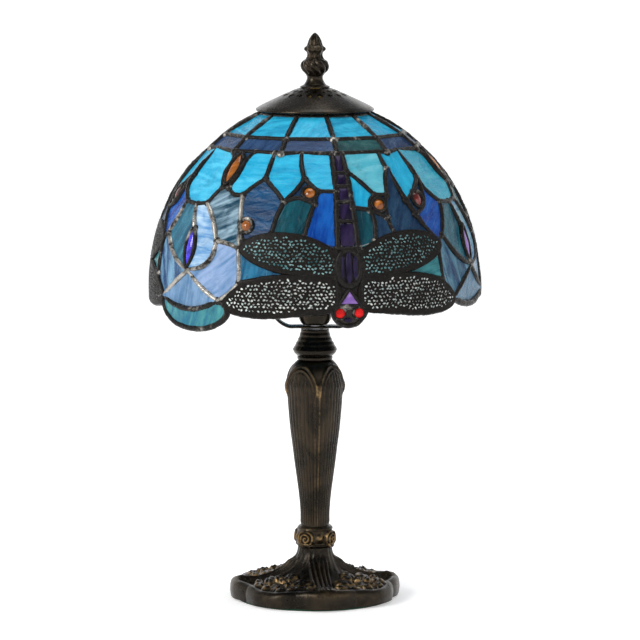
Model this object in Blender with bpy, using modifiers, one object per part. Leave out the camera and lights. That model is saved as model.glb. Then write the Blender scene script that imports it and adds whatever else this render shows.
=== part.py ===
"""Stained glass table lamp: a leaded dome shade on a cast foot and reeded stem.

Metres, +Z up. The origin is at the centre of the flat underside, and -Y is the front.
Azimuths are in degrees from the front, turning towards +X.
"""
import math

import bmesh
import bpy
import numpy as np
from mathutils import Matrix, Vector

MM = 0.001
GAP = 0.3 * MM

# Driving dimensions
FOOT_RADIUS = 55 * MM
FOOT_LOBE_DEPTH = 3.4 * MM
FOOT_LOBES = 8
FOOT_CREST_AZIMUTH = 9.0
FOOT_CREST_LIFT = 1.6 * MM
FELT_THICKNESS = 1.2 * MM

ROD_RADIUS = 4.9 * MM
ROD_BORE = 3.6 * MM
ROD_HOLE = 5.25 * MM
NOTCH_RADIUS = 3.2 * MM
NOTCH_Z = 5 * MM

DOME_RADIUS = 105.5 * MM
DOME_HEIGHT = 117.2 * MM
DOME_CENTRE_Z = 200.5 * MM
GLASS_SET_BACK = 0.3 * MM
GLASS_THICKNESS = 3.0 * MM
CAME_RADIUS = 1.8 * MM

CROWN_TOP = 19.0
CROWN_FOOT = 33.4
BAND_FOOT = 39.9
DRAGONFLIES = 3
SECTOR = 360 / DRAGONFLIES
DRAGONFLY_AZIMUTH = 11.7
WING_ROOT = 5.6
WING_TIP = 40.0
BODY_TOP = 72.5
BODY_HALF = 5.0
TAIL_HALF = 1.9
CAME_HALF = 1.15
SEAM = 0.2
RIM_FALL = 93.0
LOBE_DROPS = (0.0, 7.0, 7.0)
RIM_CLEARANCE = 1.35
RIM_STEP = 5.0
VENTS = 12
VENT_RADIUS = 1.6 * MM
VENT_CIRCLE = 18 * MM

STRAP_WIDTH = 12 * MM
STRAP_THICKNESS = 1.6 * MM
SADDLE_Z = 174.0 * MM
CROWN_Z = 321.8 * MM
STUD_RADIUS = 3.0 * MM
STUD_HOLE = 3.3 * MM
STUD_FLANGE_TOP = 323.9 * MM
NUT_HEIGHT = 3.2 * MM

BULB_RADIUS = 22.5 * MM
BULB_CENTRE_Z = 256 * MM
BULB_NECK_TILT = 0.80 * math.pi

ROUND_STEPS = 24
WIDE_STEPS = 36
FOOT_STEPS = 48


def clear_scene():
    for item in list(bpy.data.objects):
        bpy.data.objects.remove(item, do_unlink=True)


def new_collection(name):
    made = bpy.data.collections.new(name)
    bpy.context.scene.collection.children.link(made)
    return made


def finish(name, color, metallic, roughness, alpha=1.0):
    made = bpy.data.materials.new(name)
    made.use_nodes = True
    shader = made.node_tree.nodes["Principled BSDF"]
    shader.inputs["Base Color"].default_value = (*color, 1.0)
    shader.inputs["Metallic"].default_value = metallic
    shader.inputs["Roughness"].default_value = roughness
    shader.inputs["Alpha"].default_value = alpha
    return made


def place(name, mesh, material, group):
    made = bpy.data.objects.new(name, mesh)
    if material is not None:
        mesh.materials.clear()
        mesh.materials.append(material)
    group.objects.link(made)
    return made


def profile_mesh(name, points, closed):
    """An outline in the XZ plane, ready for a Screw modifier."""
    work = bmesh.new()
    verts = [work.verts.new((r, 0.0, z)) for r, z in points]
    for first, second in zip(verts, verts[1:]):
        work.edges.new((first, second))
    if closed:
        work.edges.new((verts[-1], verts[0]))
    mesh = bpy.data.meshes.new(name)
    work.to_mesh(mesh)
    work.free()
    return mesh


def turned(name, points, material, group, closed=True, steps=ROUND_STEPS, scale=MM):
    """A turned piece: the outline runs down its outer side, top to bottom."""
    scaled = [(r * scale, z * scale) for r, z in points]
    made = place(name, profile_mesh(name, scaled, closed), material, group)
    screw = made.modifiers.new("Turn", "SCREW")
    screw.axis = "Z"
    screw.angle = math.tau
    screw.steps = steps
    screw.render_steps = steps
    screw.use_merge_vertices = True
    screw.merge_threshold = 0.00001
    screw.use_normal_calculate = False
    return made


def ring(name, outer, inner, low, high, material, group, steps=ROUND_STEPS):
    """A plain ring or sleeve between two radii and two heights, in millimetres."""
    points = [(outer, high), (outer, low), (inner, low), (inner, high)]
    return turned(name, points, material, group, steps=steps)


def evaluated_mesh(source):
    depsgraph = bpy.context.evaluated_depsgraph_get()
    return bpy.data.meshes.new_from_object(source.evaluated_get(depsgraph))


def cylinder_mesh(name, radius, low, high, segments):
    work = bmesh.new()
    bmesh.ops.create_cone(work, cap_ends=True, segments=segments, radius1=radius,
                          radius2=radius, depth=high - low)
    bmesh.ops.translate(work, verts=work.verts, vec=(0, 0, (high + low) / 2))
    mesh = bpy.data.meshes.new(name)
    work.to_mesh(mesh)
    work.free()
    return mesh


def cut(target, cutter):
    cutter.hide_render = True
    cutter.display_type = "WIRE"
    boolean = target.modifiers.new("Cut", "BOOLEAN")
    boolean.operation = "DIFFERENCE"
    boolean.object = cutter
    boolean.solver = "EXACT"


def hex_nut(name, corner_radius, hole_radius, low, high, material, group, cutters):
    """A hexagon nut with a round hole, heights in metres."""
    nut = place(name, cylinder_mesh(name, corner_radius, low, high, 6), material, group)
    hole_name = f"{name}_hole"
    hole = place(hole_name, cylinder_mesh(hole_name, hole_radius, low - MM, high + MM, 24), None, cutters)
    cut(nut, hole)


def foot_lobes(mesh):
    """Scallop the rim: eight lobes, every other one raised, fading out towards the middle."""
    coords = np.empty(len(mesh.vertices) * 3, dtype=np.float32)
    mesh.vertices.foreach_get("co", coords)
    coords = coords.reshape(-1, 3)
    radius = np.hypot(coords[:, 0], coords[:, 1])
    azimuth = np.arctan2(coords[:, 0], -coords[:, 1]) - math.radians(FOOT_CREST_AZIMUTH)
    weight = np.clip((radius / FOOT_RADIUS - 0.6) / 0.4, 0.0, 1.0)
    dip = 1.0 - np.abs(np.cos(azimuth * FOOT_LOBES / 2))
    factor = 1.0 - weight * dip * FOOT_LOBE_DEPTH / FOOT_RADIUS
    coords[:, 0] *= factor
    coords[:, 1] *= factor
    on_top = np.clip((coords[:, 2] - 9.0 * MM) / (2.0 * MM), 0.0, 1.0)
    crest = np.cos(azimuth * FOOT_LOBES / 2) * weight * on_top
    coords[:, 2] += crest * FOOT_CREST_LIFT
    mesh.vertices.foreach_set("co", coords.ravel())


def dome_point(azimuth, fall, inset):
    """A point on the ellipsoid of the dome, fall in degrees down from its pole."""
    turn = np.radians(azimuth)
    tilt = np.radians(fall)
    radius = (DOME_RADIUS - inset) * np.sin(tilt)
    height = DOME_CENTRE_Z + (DOME_HEIGHT - inset) * np.cos(tilt)
    return radius * np.sin(turn), -radius * np.cos(turn), height


def dome_band(name, top, foot, inset, thickness, material, group, rows):
    """A full ring of the dome between two falls, as a closed turned outline."""
    falls = np.linspace(top, foot, rows)
    outline = []
    for depth, order in ((inset, falls), (inset + thickness, falls[::-1])):
        tilts = np.radians(order)
        radii = (DOME_RADIUS - depth) * np.sin(tilts)
        heights = DOME_CENTRE_Z + (DOME_HEIGHT - depth) * np.cos(tilts)
        outline += list(zip(radii, heights))
    return turned(name, outline, material, group, steps=WIDE_STEPS, scale=1.0)


def dome_panel(name, start, end, top, foot, material, group, columns=6, rows=4, inset=GLASS_SET_BACK,
               thickness=GLASS_THICKNESS):
    """A curved pane: a grid laid on the dome between two azimuths, with top and foot
    given as functions of azimuth, then thickened inwards."""
    work = bmesh.new()
    bmesh.ops.create_grid(work, x_segments=columns, y_segments=rows, size=0.5)
    for vert in work.verts:
        azimuth = start + (end - start) * (vert.co.x + 0.5)
        upper = top(azimuth)
        fall = upper + (foot(azimuth) - upper) * (0.5 - vert.co.y)
        vert.co = Vector(dome_point(azimuth, fall, inset))
    mesh = bpy.data.meshes.new(name)
    work.to_mesh(mesh)
    work.free()
    made = place(name, mesh, material, group)
    solid = made.modifiers.new("Thickness", "SOLIDIFY")
    solid.thickness = thickness
    solid.offset = -1.0
    solid.use_even_offset = True
    return made


def smooth_path(points, per_span):
    """A Catmull-Rom curve through the points."""
    knots = np.array([points[0], *points, points[-1]], dtype=float)
    t = np.linspace(0, 1, per_span, endpoint=False)[:, None]
    spans = []
    for a, b, c, d in zip(knots, knots[1:], knots[2:], knots[3:]):
        spans.append(0.5 * (2 * b + (c - a) * t + (2 * a - 5 * b + 4 * c - d) * t ** 2
                            + (3 * b - a - 3 * c + d) * t ** 3))
    return np.vstack([*spans, knots[-1:]])


def build_foot(group, cutters, bronze, iron, felt, rubber, steel):
    profile = [(11.3, 32.9), (11.9, 29.5), (13.6, 25.5), (17, 20.6), (22, 16.8), (29, 13.6), (37, 11.4),
               (44, 10.9), (48.5, 12.2), (51.5, 12.4), (54, 10.2), (55, 6), (54.2, 1.5), (51, 1.5),
               (50.2, 8), (ROD_HOLE / MM, 8), (ROD_HOLE / MM, 32.9)]
    blank = turned("foot_blank", profile, None, group, steps=FOOT_STEPS)
    mesh = evaluated_mesh(blank)
    bpy.data.objects.remove(blank, do_unlink=True)
    foot_lobes(mesh)
    foot = place("base_casting", mesh, bronze, group)
    slot = place("cord_notch", cylinder_mesh("cord_notch", NOTCH_RADIUS, 0.0, 12 * MM, 24), None, cutters)
    slot.rotation_euler = (-math.pi / 2, 0, 0)
    slot.location = (0, 46 * MM, NOTCH_Z)
    cut(foot, slot)
    mouth_mesh = bpy.data.meshes.new("notch_mouth")
    work = bmesh.new()
    mouth_height = NOTCH_Z - 0.5 * MM
    mouth_size = Matrix.Diagonal((2 * NOTCH_RADIUS, 12 * MM, mouth_height, 1))
    bmesh.ops.create_cube(work, size=1.0, matrix=mouth_size)
    work.to_mesh(mouth_mesh)
    work.free()
    mouth = place("notch_mouth", mouth_mesh, None, cutters)
    mouth.location = (0, 52 * MM, NOTCH_Z - mouth_height / 2)
    cut(foot, mouth)

    felt_top = FELT_THICKNESS / MM
    turned("felt_pad", [(0, felt_top), (49.5, felt_top), (49.5, 0), (0, 0)], felt, group, closed=False,
           steps=WIDE_STEPS)
    ring("base_weight", 46, 13, 1.8, 7.2, iron, group, steps=WIDE_STEPS)
    ring("base_washer", 10, ROD_HOLE / MM, 6.3, 7.6, steel, group)
    hex_nut("base_nut", 9.2 * MM, ROD_HOLE, 2.2 * MM, 5.9 * MM, steel, group, cutters)
    bush = [(3.7, 1.4), (3.7, 0), (2.8, 0), (2.8, -6.2), (2.0, -6.2), (2.0, 1.4)]
    gland = turned("cord_gland", bush, rubber, group, steps=24)
    gland.rotation_euler = (-math.pi / 2, 0, 0)
    gland.location = (0, 54.6 * MM, NOTCH_Z)


def build_stem(group, bronze, steel):
    bore = ROD_HOLE / MM
    collar = [(9.6, 46.0), (11.0, 44.6), (11.9, 41.2), (12.0, 38), (11.2, 34.8), (10.4, 33.2), (bore, 33.2),
              (bore, 46.0)]
    turned("rosette_collar", collar, bronze, group)
    profile = [(11.0, 152.9), (13.0, 151), (15.0, 148.2), (16.4, 144.5), (17.2, 140.7), (18.1, 137),
               (17.3, 133), (16.9, 125), (16.3, 117.5), (15.4, 108), (14.2, 99), (12.9, 88), (11.5, 77),
               (10.2, 66), (9.4, 55), (9.5, 46.3), (bore, 46.3), (bore, 56), (7.0, 66), (9.7, 88),
               (12.2, 108), (13.7, 125), (14.4, 137), (13.2, 143), (8, 148), (bore, 149), (bore, 152.9)]
    turned("stem_casting", profile, bronze, group)
    ring("neck_ring", 11.2, bore, 153.2, 155.6, bronze, group)
    cone = [(8.7, 172.6), (10.0, 167.5), (11.8, 163.7), (13.9, 159.6), (13.2, 157.5), (11.4, 155.9),
            (10.2, 155.9), (12.0, 158.2), (12.5, 159.7), (10.6, 163.3), (8.8, 167.2), (7.8, 171.3),
            (bore, 171.3), (bore, 172.6)]
    turned("neck_cone", cone, bronze, group)
    ring("threaded_rod", ROD_RADIUS / MM, ROD_BORE / MM, 1.8, 181.5, steel, group, steps=24)


def build_harp(group, cutters, bronze, brass):
    half = [(0, SADDLE_Z / MM), (10, SADDLE_Z / MM), (18, 174.6), (26, 181), (38, 199), (45, 222),
            (46.5, 245), (43.5, 268), (35, 290), (22, 308), (12, 317.5), (6.5, 321.4), (4, CROWN_Z / MM),
            (0, CROWN_Z / MM)]
    right = smooth_path(half, 3) * MM
    left = (right * (-1, 1))[::-1][1:-1]
    middle = np.vstack([right, left])
    along = np.roll(middle, -1, axis=0) - np.roll(middle, 1, axis=0)
    along /= np.linalg.norm(along, axis=1)[:, None]
    outward = np.column_stack([along[:, 1], -along[:, 0]])
    outline = bpy.data.curves.new("harp_outline", "CURVE")
    outline.dimensions = "2D"
    outline.fill_mode = "BOTH"
    outline.extrude = STRAP_WIDTH / 2
    for shift in (STRAP_THICKNESS / 2, -STRAP_THICKNESS / 2):
        edge = middle + outward * shift
        spline = outline.splines.new("POLY")
        spline.points.add(len(edge) - 1)
        flat = np.column_stack([edge, np.zeros(len(edge)), np.ones(len(edge))])
        spline.points.foreach_set("co", flat.ravel())
        spline.use_cyclic_u = True
    curve = bpy.data.objects.new("harp_outline", outline)
    group.objects.link(curve)
    curve.rotation_euler = (math.pi / 2, 0, 0)
    bpy.context.view_layer.update()
    mesh = evaluated_mesh(curve)
    turn = curve.matrix_world.copy()
    bpy.data.objects.remove(curve, do_unlink=True)
    work = bmesh.new()
    work.from_mesh(mesh)
    bmesh.ops.remove_doubles(work, verts=work.verts, dist=0.00001)
    work.to_mesh(mesh)
    work.free()
    strap = place("harp_strap", mesh, bronze, group)
    strap.matrix_world = turn
    holes = [("rod_hole", ROD_HOLE, 170, 178), ("stud_hole", STUD_HOLE, 318, 326)]
    for name, radius, low, high in holes:
        cutter = place(name, cylinder_mesh(name, radius, low * MM, high * MM, 24), None, cutters)
        cut(strap, cutter)
    flange_top = STUD_FLANGE_TOP / MM
    crown_face = (CROWN_Z + STRAP_THICKNESS / 2 + GAP) / MM
    shank = STUD_RADIUS / MM
    stud = [(0, 337.5), (2.6, 337.5), (shank, 336.8), (shank, flange_top), (5.4, flange_top),
            (5.4, crown_face), (shank, crown_face), (shank, 315.2), (0, 315.2)]
    turned("harp_stud", stud, brass, group, closed=False, steps=24)
    nut_top = CROWN_Z - STRAP_THICKNESS / 2 - GAP
    hex_nut("harp_nut", 5.6 * MM, STUD_HOLE, nut_top - NUT_HEIGHT, nut_top, brass, group, cutters)


def build_lampholder(group, bronze, bakelite, brass, ceramic):
    cup = [(10.7, 183.6), (10.6, 182.4), (9.6, 179.6), (7.6, 177.2), (6.9, 175.2), (ROD_HOLE / MM, 175.2),
           (ROD_HOLE / MM, 177.6), (6.6, 178.4), (8.6, 180.4), (9.5, 182.6), (9.6, 183.6)]
    turned("socket_cup", cup, bronze, group)
    barrel = [(12.2, 228), (12.2, 188), (10.8, 183.9), (8.4, 183.9), (8.4, 190), (9.6, 192), (9.6, 228)]
    turned("socket_barrel", barrel, bakelite, group)
    ring("socket_shell", 9.2, 8.6, 203.5, 226, brass, group)
    insulator = [(9.2, 199.6), (9.2, 193), (6.2, 193), (6.2, 184.5), (3.0, 184.5), (3.0, 193.5),
                 (2.4, 199.6)]
    turned("socket_insulator", insulator, ceramic, group)
    contact = [(0, 202.2), (1.6, 202.0), (3.6, 200.6), (3.6, 199.9), (1.9, 199.9), (1.9, 195), (0, 195)]
    turned("socket_contact", contact, brass, group, closed=False, steps=16)


def build_bulb(group, glass, brass):
    tilts = np.linspace(0, BULB_NECK_TILT, 11)
    outline = [(BULB_RADIUS / MM * math.sin(t), (BULB_CENTRE_Z + BULB_RADIUS * math.cos(t)) / MM)
               for t in tilts]
    outline += [(10.5, 232.5), (8.6, 229.2), (7.4, 226.6), (0, 226.6)]
    turned("bulb_glass", outline, glass, group, closed=False)
    cap = [(0, 226.2), (8.2, 226.2), (8.2, 209.5), (7.2, 207.2), (4.6, 205.2), (0, 205.2)]
    turned("bulb_cap", cap, brass, group, closed=False)
    turned("bulb_contact", [(0, 204.9), (2.6, 204.9), (2.4, 203.6), (1.2, 202.7), (0, 202.6)], brass,
           group, closed=False, steps=16)


def build_finial(group, bronze):
    profile = [(0, 360), (1.6, 358.8), (3.6, 355.6), (4.8, 352.2), (6.6, 350.6), (6.7, 349.2), (5.2, 347.6),
               (4.7, 345.6), (5.6, 343.8), (8.2, 341.6), (9.1, 339.3), (8.4, 336.6), (6.2, 334.2),
               (5.0, 332.2), (5.4, 330), (7.0, 327.4), (9.3, 326.2), (9.4, 325.6), (STUD_HOLE / MM, 325.6),
               (STUD_HOLE / MM, 338.2), (0, 338.2)]
    turned("finial", profile, bronze, group, closed=False)


def build_cap(group, cutters, bronze):
    profile = [(9.6, 325.2), (12, 324.5), (20.7, 320.7), (29, 316.8), (35.7, 313.4), (37.1, 312.4),
               (37.3, 310.9), (36.1, 310.9), (35.2, 312.3), (28.6, 315.6), (20.3, 319.5), (11.7, 323.3),
               (9.5, 324.2), (STUD_HOLE / MM, 324.2), (STUD_HOLE / MM, 325.2)]
    cap = turned("vented_cap", profile, bronze, group, steps=WIDE_STEPS)
    for index in range(VENTS):
        turn = math.tau * (index + 0.5) / VENTS
        name = f"vent_{index}"
        vent = place(name, cylinder_mesh(name, VENT_RADIUS, 312 * MM, 330 * MM, 8), None, cutters)
        vent.location = (VENT_CIRCLE * math.cos(turn), VENT_CIRCLE * math.sin(turn), 0)
        cut(cap, vent)


def lobe_fall(offset, drop):
    """Fall of a lobe's foot, by azimuth from the lobe's middle."""
    reach = abs(offset) / (SECTOR / 2 - WING_TIP)
    return RIM_FALL + drop * max(0.0, 1.0 - reach ** 2.4)


def build_shade(group, lead, brass, turquoise, navy, blues, filigree, purple, teal):
    ring_depth = GLASS_SET_BACK + GLASS_THICKNESS / 2
    crown = dome_point(0, CROWN_TOP - 1.4, ring_depth)
    radius, height = -crown[1] / MM, crown[2] / MM
    ring("crown_ring", radius, radius - 2.2, height - 2.6, height + 0.5, brass, group, steps=WIDE_STEPS)
    for name, fall in (("came_upper", CROWN_FOOT), ("came_lower", BAND_FOOT)):
        dome_band(name, fall - CAME_HALF + SEAM, fall + CAME_HALF - SEAM, 0.0,
                  GLASS_THICKNESS + 1.0 * MM, lead, group, 2)
    dome_band("crown_glass", CROWN_TOP, CROWN_FOOT - CAME_HALF, GLASS_SET_BACK, GLASS_THICKNESS,
              turquoise, group, 4)
    dome_band("band_glass", CROWN_FOOT + CAME_HALF, BAND_FOOT - CAME_HALF, GLASS_SET_BACK, GLASS_THICKNESS,
              navy, group, 3)

    field_top = BAND_FOOT + CAME_HALF + SEAM / 2
    lobe_half = SECTOR / 2 - WING_TIP
    for index in range(DRAGONFLIES):
        axis = DRAGONFLY_AZIMUTH + SECTOR * index
        number = index + 1

        def body_foot(azimuth, axis=axis):
            return 96.5 - 3.2 * ((azimuth - axis) / BODY_HALF) ** 2

        dome_panel(f"dragonfly_body_{number}", axis - BODY_HALF, axis + BODY_HALF, lambda a: BODY_TOP,
                   body_foot, purple, group, columns=4, rows=6)
        dome_panel(f"dragonfly_tail_{number}", axis - TAIL_HALF, axis + TAIL_HALF, lambda a: field_top,
                   lambda a: BODY_TOP - 2 * SEAM, purple, group, columns=2, rows=7)
        for side, word in ((-1, "left"), (1, "right")):
            near = axis + side * (TAIL_HALF + SEAM)
            root = axis + side * (BODY_HALF + SEAM)
            tip = axis + side * (WING_TIP - SEAM)

            def wing_top(azimuth, axis=axis):
                return 75.2 - 6.0 * math.sin(math.pi * min(1.0, abs(azimuth - axis) / WING_TIP)) \
                    - 1.0 * abs(azimuth - axis) / WING_TIP

            def field_foot(azimuth, wing_top=wing_top):
                return min(wing_top(azimuth) - 0.4, 72.0)

            def parting(azimuth, axis=axis):
                return 82.5 + 2.0 * (abs(azimuth - axis) - WING_ROOT) / WING_TIP

            def wing_foot(azimuth, axis=axis):
                return 93.4 - 1.6 * (abs(azimuth - axis) / WING_TIP) ** 4

            dome_panel(f"field_glass_{word}_{number}", min(near, tip), max(near, tip), lambda a: field_top,
                       field_foot, blues, group)
            dome_panel(f"upper_wing_{word}_{number}", min(root, tip), max(root, tip), wing_top,
                       lambda a, f=parting: f(a) - SEAM, filigree, group, rows=3, inset=0.0)
            dome_panel(f"lower_wing_{word}_{number}", min(root, tip), max(root, tip),
                       lambda a, f=parting: f(a) + SEAM, wing_foot, filigree, group, rows=3, inset=0.0)

        def lobe_foot(azimuth, middle=axis + 60, drop=LOBE_DROPS[index]):
            return lobe_fall(azimuth - middle, drop)

        dome_panel(f"lobe_glass_{number}", axis + SECTOR / 2 - lobe_half + SEAM,
                   axis + SECTOR / 2 + lobe_half - SEAM, lambda a: field_top, lobe_foot, teal, group,
                   columns=8, rows=8)
    build_rim(group, lead)


def rim_fall(azimuth):
    """Fall of the rim's middle line: lowest at the lobes, and dipping under each head."""
    turn = azimuth - DRAGONFLY_AZIMUTH
    offset = (turn + SECTOR / 2) % SECTOR - SECTOR / 2
    middle_offset = turn % SECTOR - SECTOR / 2
    lobe = lobe_fall(middle_offset, LOBE_DROPS[int(turn % 360 // SECTOR)])
    wing = 93.4 - 1.6 * min(1.0, abs(offset) / WING_TIP) ** 4
    head = 97.3 - 0.055 * offset ** 2
    return max(lobe, wing, head)


def build_rim(group, lead):
    """The heavy bead that follows the shade's lower edge all the way round."""
    azimuths = np.arange(0, 360, RIM_STEP)
    middle_inset = GLASS_SET_BACK + GLASS_THICKNESS / 2
    points = [dome_point(a, rim_fall(a) + RIM_CLEARANCE, middle_inset) for a in azimuths]
    bead = bpy.data.curves.new("rim_came", "CURVE")
    bead.dimensions = "3D"
    bead.bevel_depth = CAME_RADIUS
    bead.bevel_resolution = 1
    spline = bead.splines.new("POLY")
    spline.points.add(len(points) - 1)
    flat = np.column_stack([np.array(points), np.ones(len(points))])
    spline.points.foreach_set("co", flat.ravel())
    spline.use_cyclic_u = True
    made = bpy.data.objects.new("rim_came", bead)
    bead.materials.append(lead)
    group.objects.link(made)


def main():
    clear_scene()
    lamp = new_collection("stained_glass_table_lamp")
    cutters = new_collection("cutters")
    bronze = finish("antique_bronze", (0.10, 0.075, 0.045), 0.85, 0.42)
    iron = finish("cast_iron", (0.12, 0.12, 0.12), 0.8, 0.7)
    steel = finish("zinc_steel", (0.5, 0.5, 0.5), 0.9, 0.35)
    brass = finish("brass", (0.72, 0.52, 0.22), 0.95, 0.3)
    felt = finish("green_felt", (0.03, 0.07, 0.04), 0.0, 0.95)
    rubber = finish("black_bush", (0.02, 0.02, 0.02), 0.0, 0.6)
    bakelite = finish("black_bakelite", (0.02, 0.02, 0.02), 0.0, 0.35)
    ceramic = finish("white_ceramic", (0.8, 0.8, 0.76), 0.0, 0.4)
    bulb = finish("opal_bulb_glass", (0.92, 0.92, 0.88), 0.0, 0.3)
    lead = finish("dark_came", (0.035, 0.03, 0.025), 0.8, 0.45)
    filigree = finish("wing_filigree", (0.05, 0.045, 0.035), 0.8, 0.45)
    turquoise = finish("turquoise_glass", (0.05, 0.42, 0.65), 0.0, 0.2)
    navy = finish("navy_glass", (0.03, 0.08, 0.22), 0.0, 0.2)
    blues = finish("blue_glass", (0.02, 0.10, 0.35), 0.0, 0.2)
    teal = finish("teal_glass", (0.03, 0.22, 0.30), 0.0, 0.2)
    purple = finish("purple_glass", (0.08, 0.03, 0.16), 0.0, 0.2)

    build_foot(lamp, cutters, bronze, iron, felt, rubber, steel)
    build_stem(lamp, bronze, steel)
    build_harp(lamp, cutters, bronze, brass)
    build_lampholder(lamp, bronze, bakelite, brass, ceramic)
    build_bulb(lamp, bulb, brass)
    build_finial(lamp, bronze)
    build_cap(lamp, cutters, bronze)
    build_shade(lamp, lead, brass, turquoise, navy, blues, filigree, purple, teal)


main()
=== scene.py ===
"""Looks of a leaded glass table lamp: panes, lead lines, pierced wings and cast bronze, round a fixed frame.

Metres, +Z up, -Y is the front. On the dome a place is given as (azimuth, fall): azimuth in degrees
from a dragonfly's axis, turning towards +X, and fall in degrees down from the pole of the ellipsoid.
"""

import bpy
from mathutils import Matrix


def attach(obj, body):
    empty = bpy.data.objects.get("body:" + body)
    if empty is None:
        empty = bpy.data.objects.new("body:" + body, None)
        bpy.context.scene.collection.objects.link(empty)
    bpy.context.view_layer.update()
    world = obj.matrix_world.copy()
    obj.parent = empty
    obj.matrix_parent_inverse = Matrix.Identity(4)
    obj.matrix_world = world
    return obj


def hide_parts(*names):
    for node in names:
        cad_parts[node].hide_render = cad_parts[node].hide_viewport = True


bl_info = {
    "name": "Leaded glass table lamp",
    "version": (1, 0, 0),
    "blender": (4, 5, 0),
    "location": "View3D > Sidebar > Lamp",
    "description": "Builds the visible pieces of a leaded glass table lamp on its frame",
    "category": "Object",
}

import math

import bpy
import numpy as np
from bpy.props import FloatProperty, FloatVectorProperty, IntProperty, PointerProperty
from mathutils import Vector, geometry

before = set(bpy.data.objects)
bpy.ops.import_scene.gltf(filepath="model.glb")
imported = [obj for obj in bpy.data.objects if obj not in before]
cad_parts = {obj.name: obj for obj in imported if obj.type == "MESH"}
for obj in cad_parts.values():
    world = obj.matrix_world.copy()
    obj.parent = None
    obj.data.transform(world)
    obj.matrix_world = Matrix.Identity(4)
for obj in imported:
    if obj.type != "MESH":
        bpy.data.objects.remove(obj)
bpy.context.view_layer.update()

MM = 0.001

# The dome is the ellipsoid that the frame's shade pieces are cut from.
DOME_RADIUS = 105.5 * MM
DOME_HEIGHT = 117.2 * MM
DOME_CENTRE_Z = 200.5 * MM
GLASS_DEPTH = 1.7 * MM
GLASS_THICKNESS = 2.6 * MM
DRAGONFLY_AZIMUTH = 11.7
SECTOR = 120.0
FACETS = 12
FACET = 360.0 / FACETS
CROWN_FALL = 20.0
UPPER_CAME_FALL = 33.4
LOWER_CAME_FALL = 40.0

# A lead line wanders by four sine waves of these lengths, in millimetres, and these shares.
WANDER_LENGTHS = np.array([13, 7, 4, 2.6])
WANDER_SHARES = np.array([0.4, 0.3, 0.35, 0.25])
LEAD_STEP = 1.3 * MM


# ---------------------------------------------------------------- settings

def colour_setting(name, description, default):
    """A colour property of the add-on."""
    return FloatVectorProperty(name=name, description=description, default=default, subtype="COLOR",
                               size=3, min=0.0, max=1.0)


class LampGlassSettings(bpy.types.PropertyGroup):
    came_width: FloatProperty(name="Lead line width", description="Width of the lead between two panes",
                              default=3.5 * MM, unit="LENGTH", min=0.001, max=0.008)
    pane_bow: FloatProperty(name="Pane bow", description="How far a pane swells at its middle",
                            default=0.12 * MM, unit="LENGTH", min=0.0, max=0.002)
    hole_pitch: FloatProperty(name="Wing hole spacing", description="Distance between holes in a wing",
                              default=2.50 * MM, unit="LENGTH", min=0.0015, max=0.006)
    came_dark: colour_setting("Lead colour", "Patina on the lead lines", (0.006, 0.0055, 0.005))
    came_brown: colour_setting("Lead brown", "Lighter grain in the patina", (0.017, 0.015, 0.013))
    # The solder colour is bare solder, and on the lobe nearest the key light also a painted highlight.
    came_silver_and_highlight: colour_setting("Solder colour", "Bare solder where the patina has worn",
                                (0.42, 0.40, 0.36))


class LampMetalSettings(bpy.types.PropertyGroup):
    reeds: IntProperty(name="Reeds", description="Reeds round the stem", default=36, min=8, max=60)
    bronze_dark: colour_setting("Bronze colour", "Dark patina of the castings", (0.012, 0.0095, 0.0065))
    bronze_warm: colour_setting("Bronze brown", "Brown clouds in the patina", (0.036, 0.027, 0.017))
    bronze_rub: colour_setting("Rubbed colour", "Gold brown where the patina is rubbed",
                               (0.26, 0.165, 0.070))


class LampStageSettings(bpy.types.PropertyGroup):
    distance: FloatProperty(name="Camera distance", description="Camera to lamp axis", default=2.5,
                            unit="LENGTH", min=0.5, max=10.0)
    eye_height: FloatProperty(name="Camera height", description="Camera above the table", default=0.485,
                              unit="LENGTH", min=0.0, max=3.0)
    floor_colour: colour_setting("Floor colour", "Pale floor and backdrop", (0.93, 0.93, 0.93))


# ---------------------------------------------------------------- mesh helpers

class Parts:
    """Gathers patches of points and faces, with their attributes, into one mesh."""

    def __init__(self):
        self.points, self.quads, self.tris, self.total = [], [], [], 0
        self.values = {}

    def add(self, points, quads=None, tris=None, **values):
        points = np.asarray(points, dtype=float).reshape(-1, 3)
        if quads is not None and len(quads):
            self.quads.append(np.asarray(quads) + self.total)
        if tris is not None and len(tris):
            self.tris.append(np.asarray(tris) + self.total)
        for key, value in values.items():
            value = np.asarray(value, dtype=float)
            if value.ndim < 2:
                value = np.tile(np.atleast_1d(value), (len(points), 1))
            self.values.setdefault(key, []).append(value)
        self.points.append(points)
        self.total += len(points)

    def mesh(self, name):
        points = np.vstack(self.points)
        quads = np.vstack(self.quads) if self.quads else np.zeros((0, 4), int)
        tris = np.vstack(self.tris) if self.tris else np.zeros((0, 3), int)
        mesh = bpy.data.meshes.new(name)
        mesh.vertices.add(len(points))
        mesh.vertices.foreach_set("co", points.astype(np.float32).ravel())
        mesh.loops.add(quads.size + tris.size)
        mesh.loops.foreach_set("vertex_index", np.concatenate([quads.ravel(), tris.ravel()]).astype(np.int32))
        mesh.polygons.add(len(quads) + len(tris))
        starts = np.concatenate([np.arange(len(quads)) * 4, quads.size + np.arange(len(tris)) * 3])
        mesh.polygons.foreach_set("loop_start", starts.astype(np.int32))
        mesh.update(calc_edges=True)
        mesh.validate()
        for key, chunks in self.values.items():
            data = np.vstack(chunks).astype(np.float32)
            if data.shape[1] == 1:
                mesh.attributes.new(key, "FLOAT", "POINT").data.foreach_set("value", data.ravel())
            else:
                mesh.attributes.new(key, "FLOAT_VECTOR", "POINT").data.foreach_set("vector", data.ravel())
        return mesh


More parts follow.
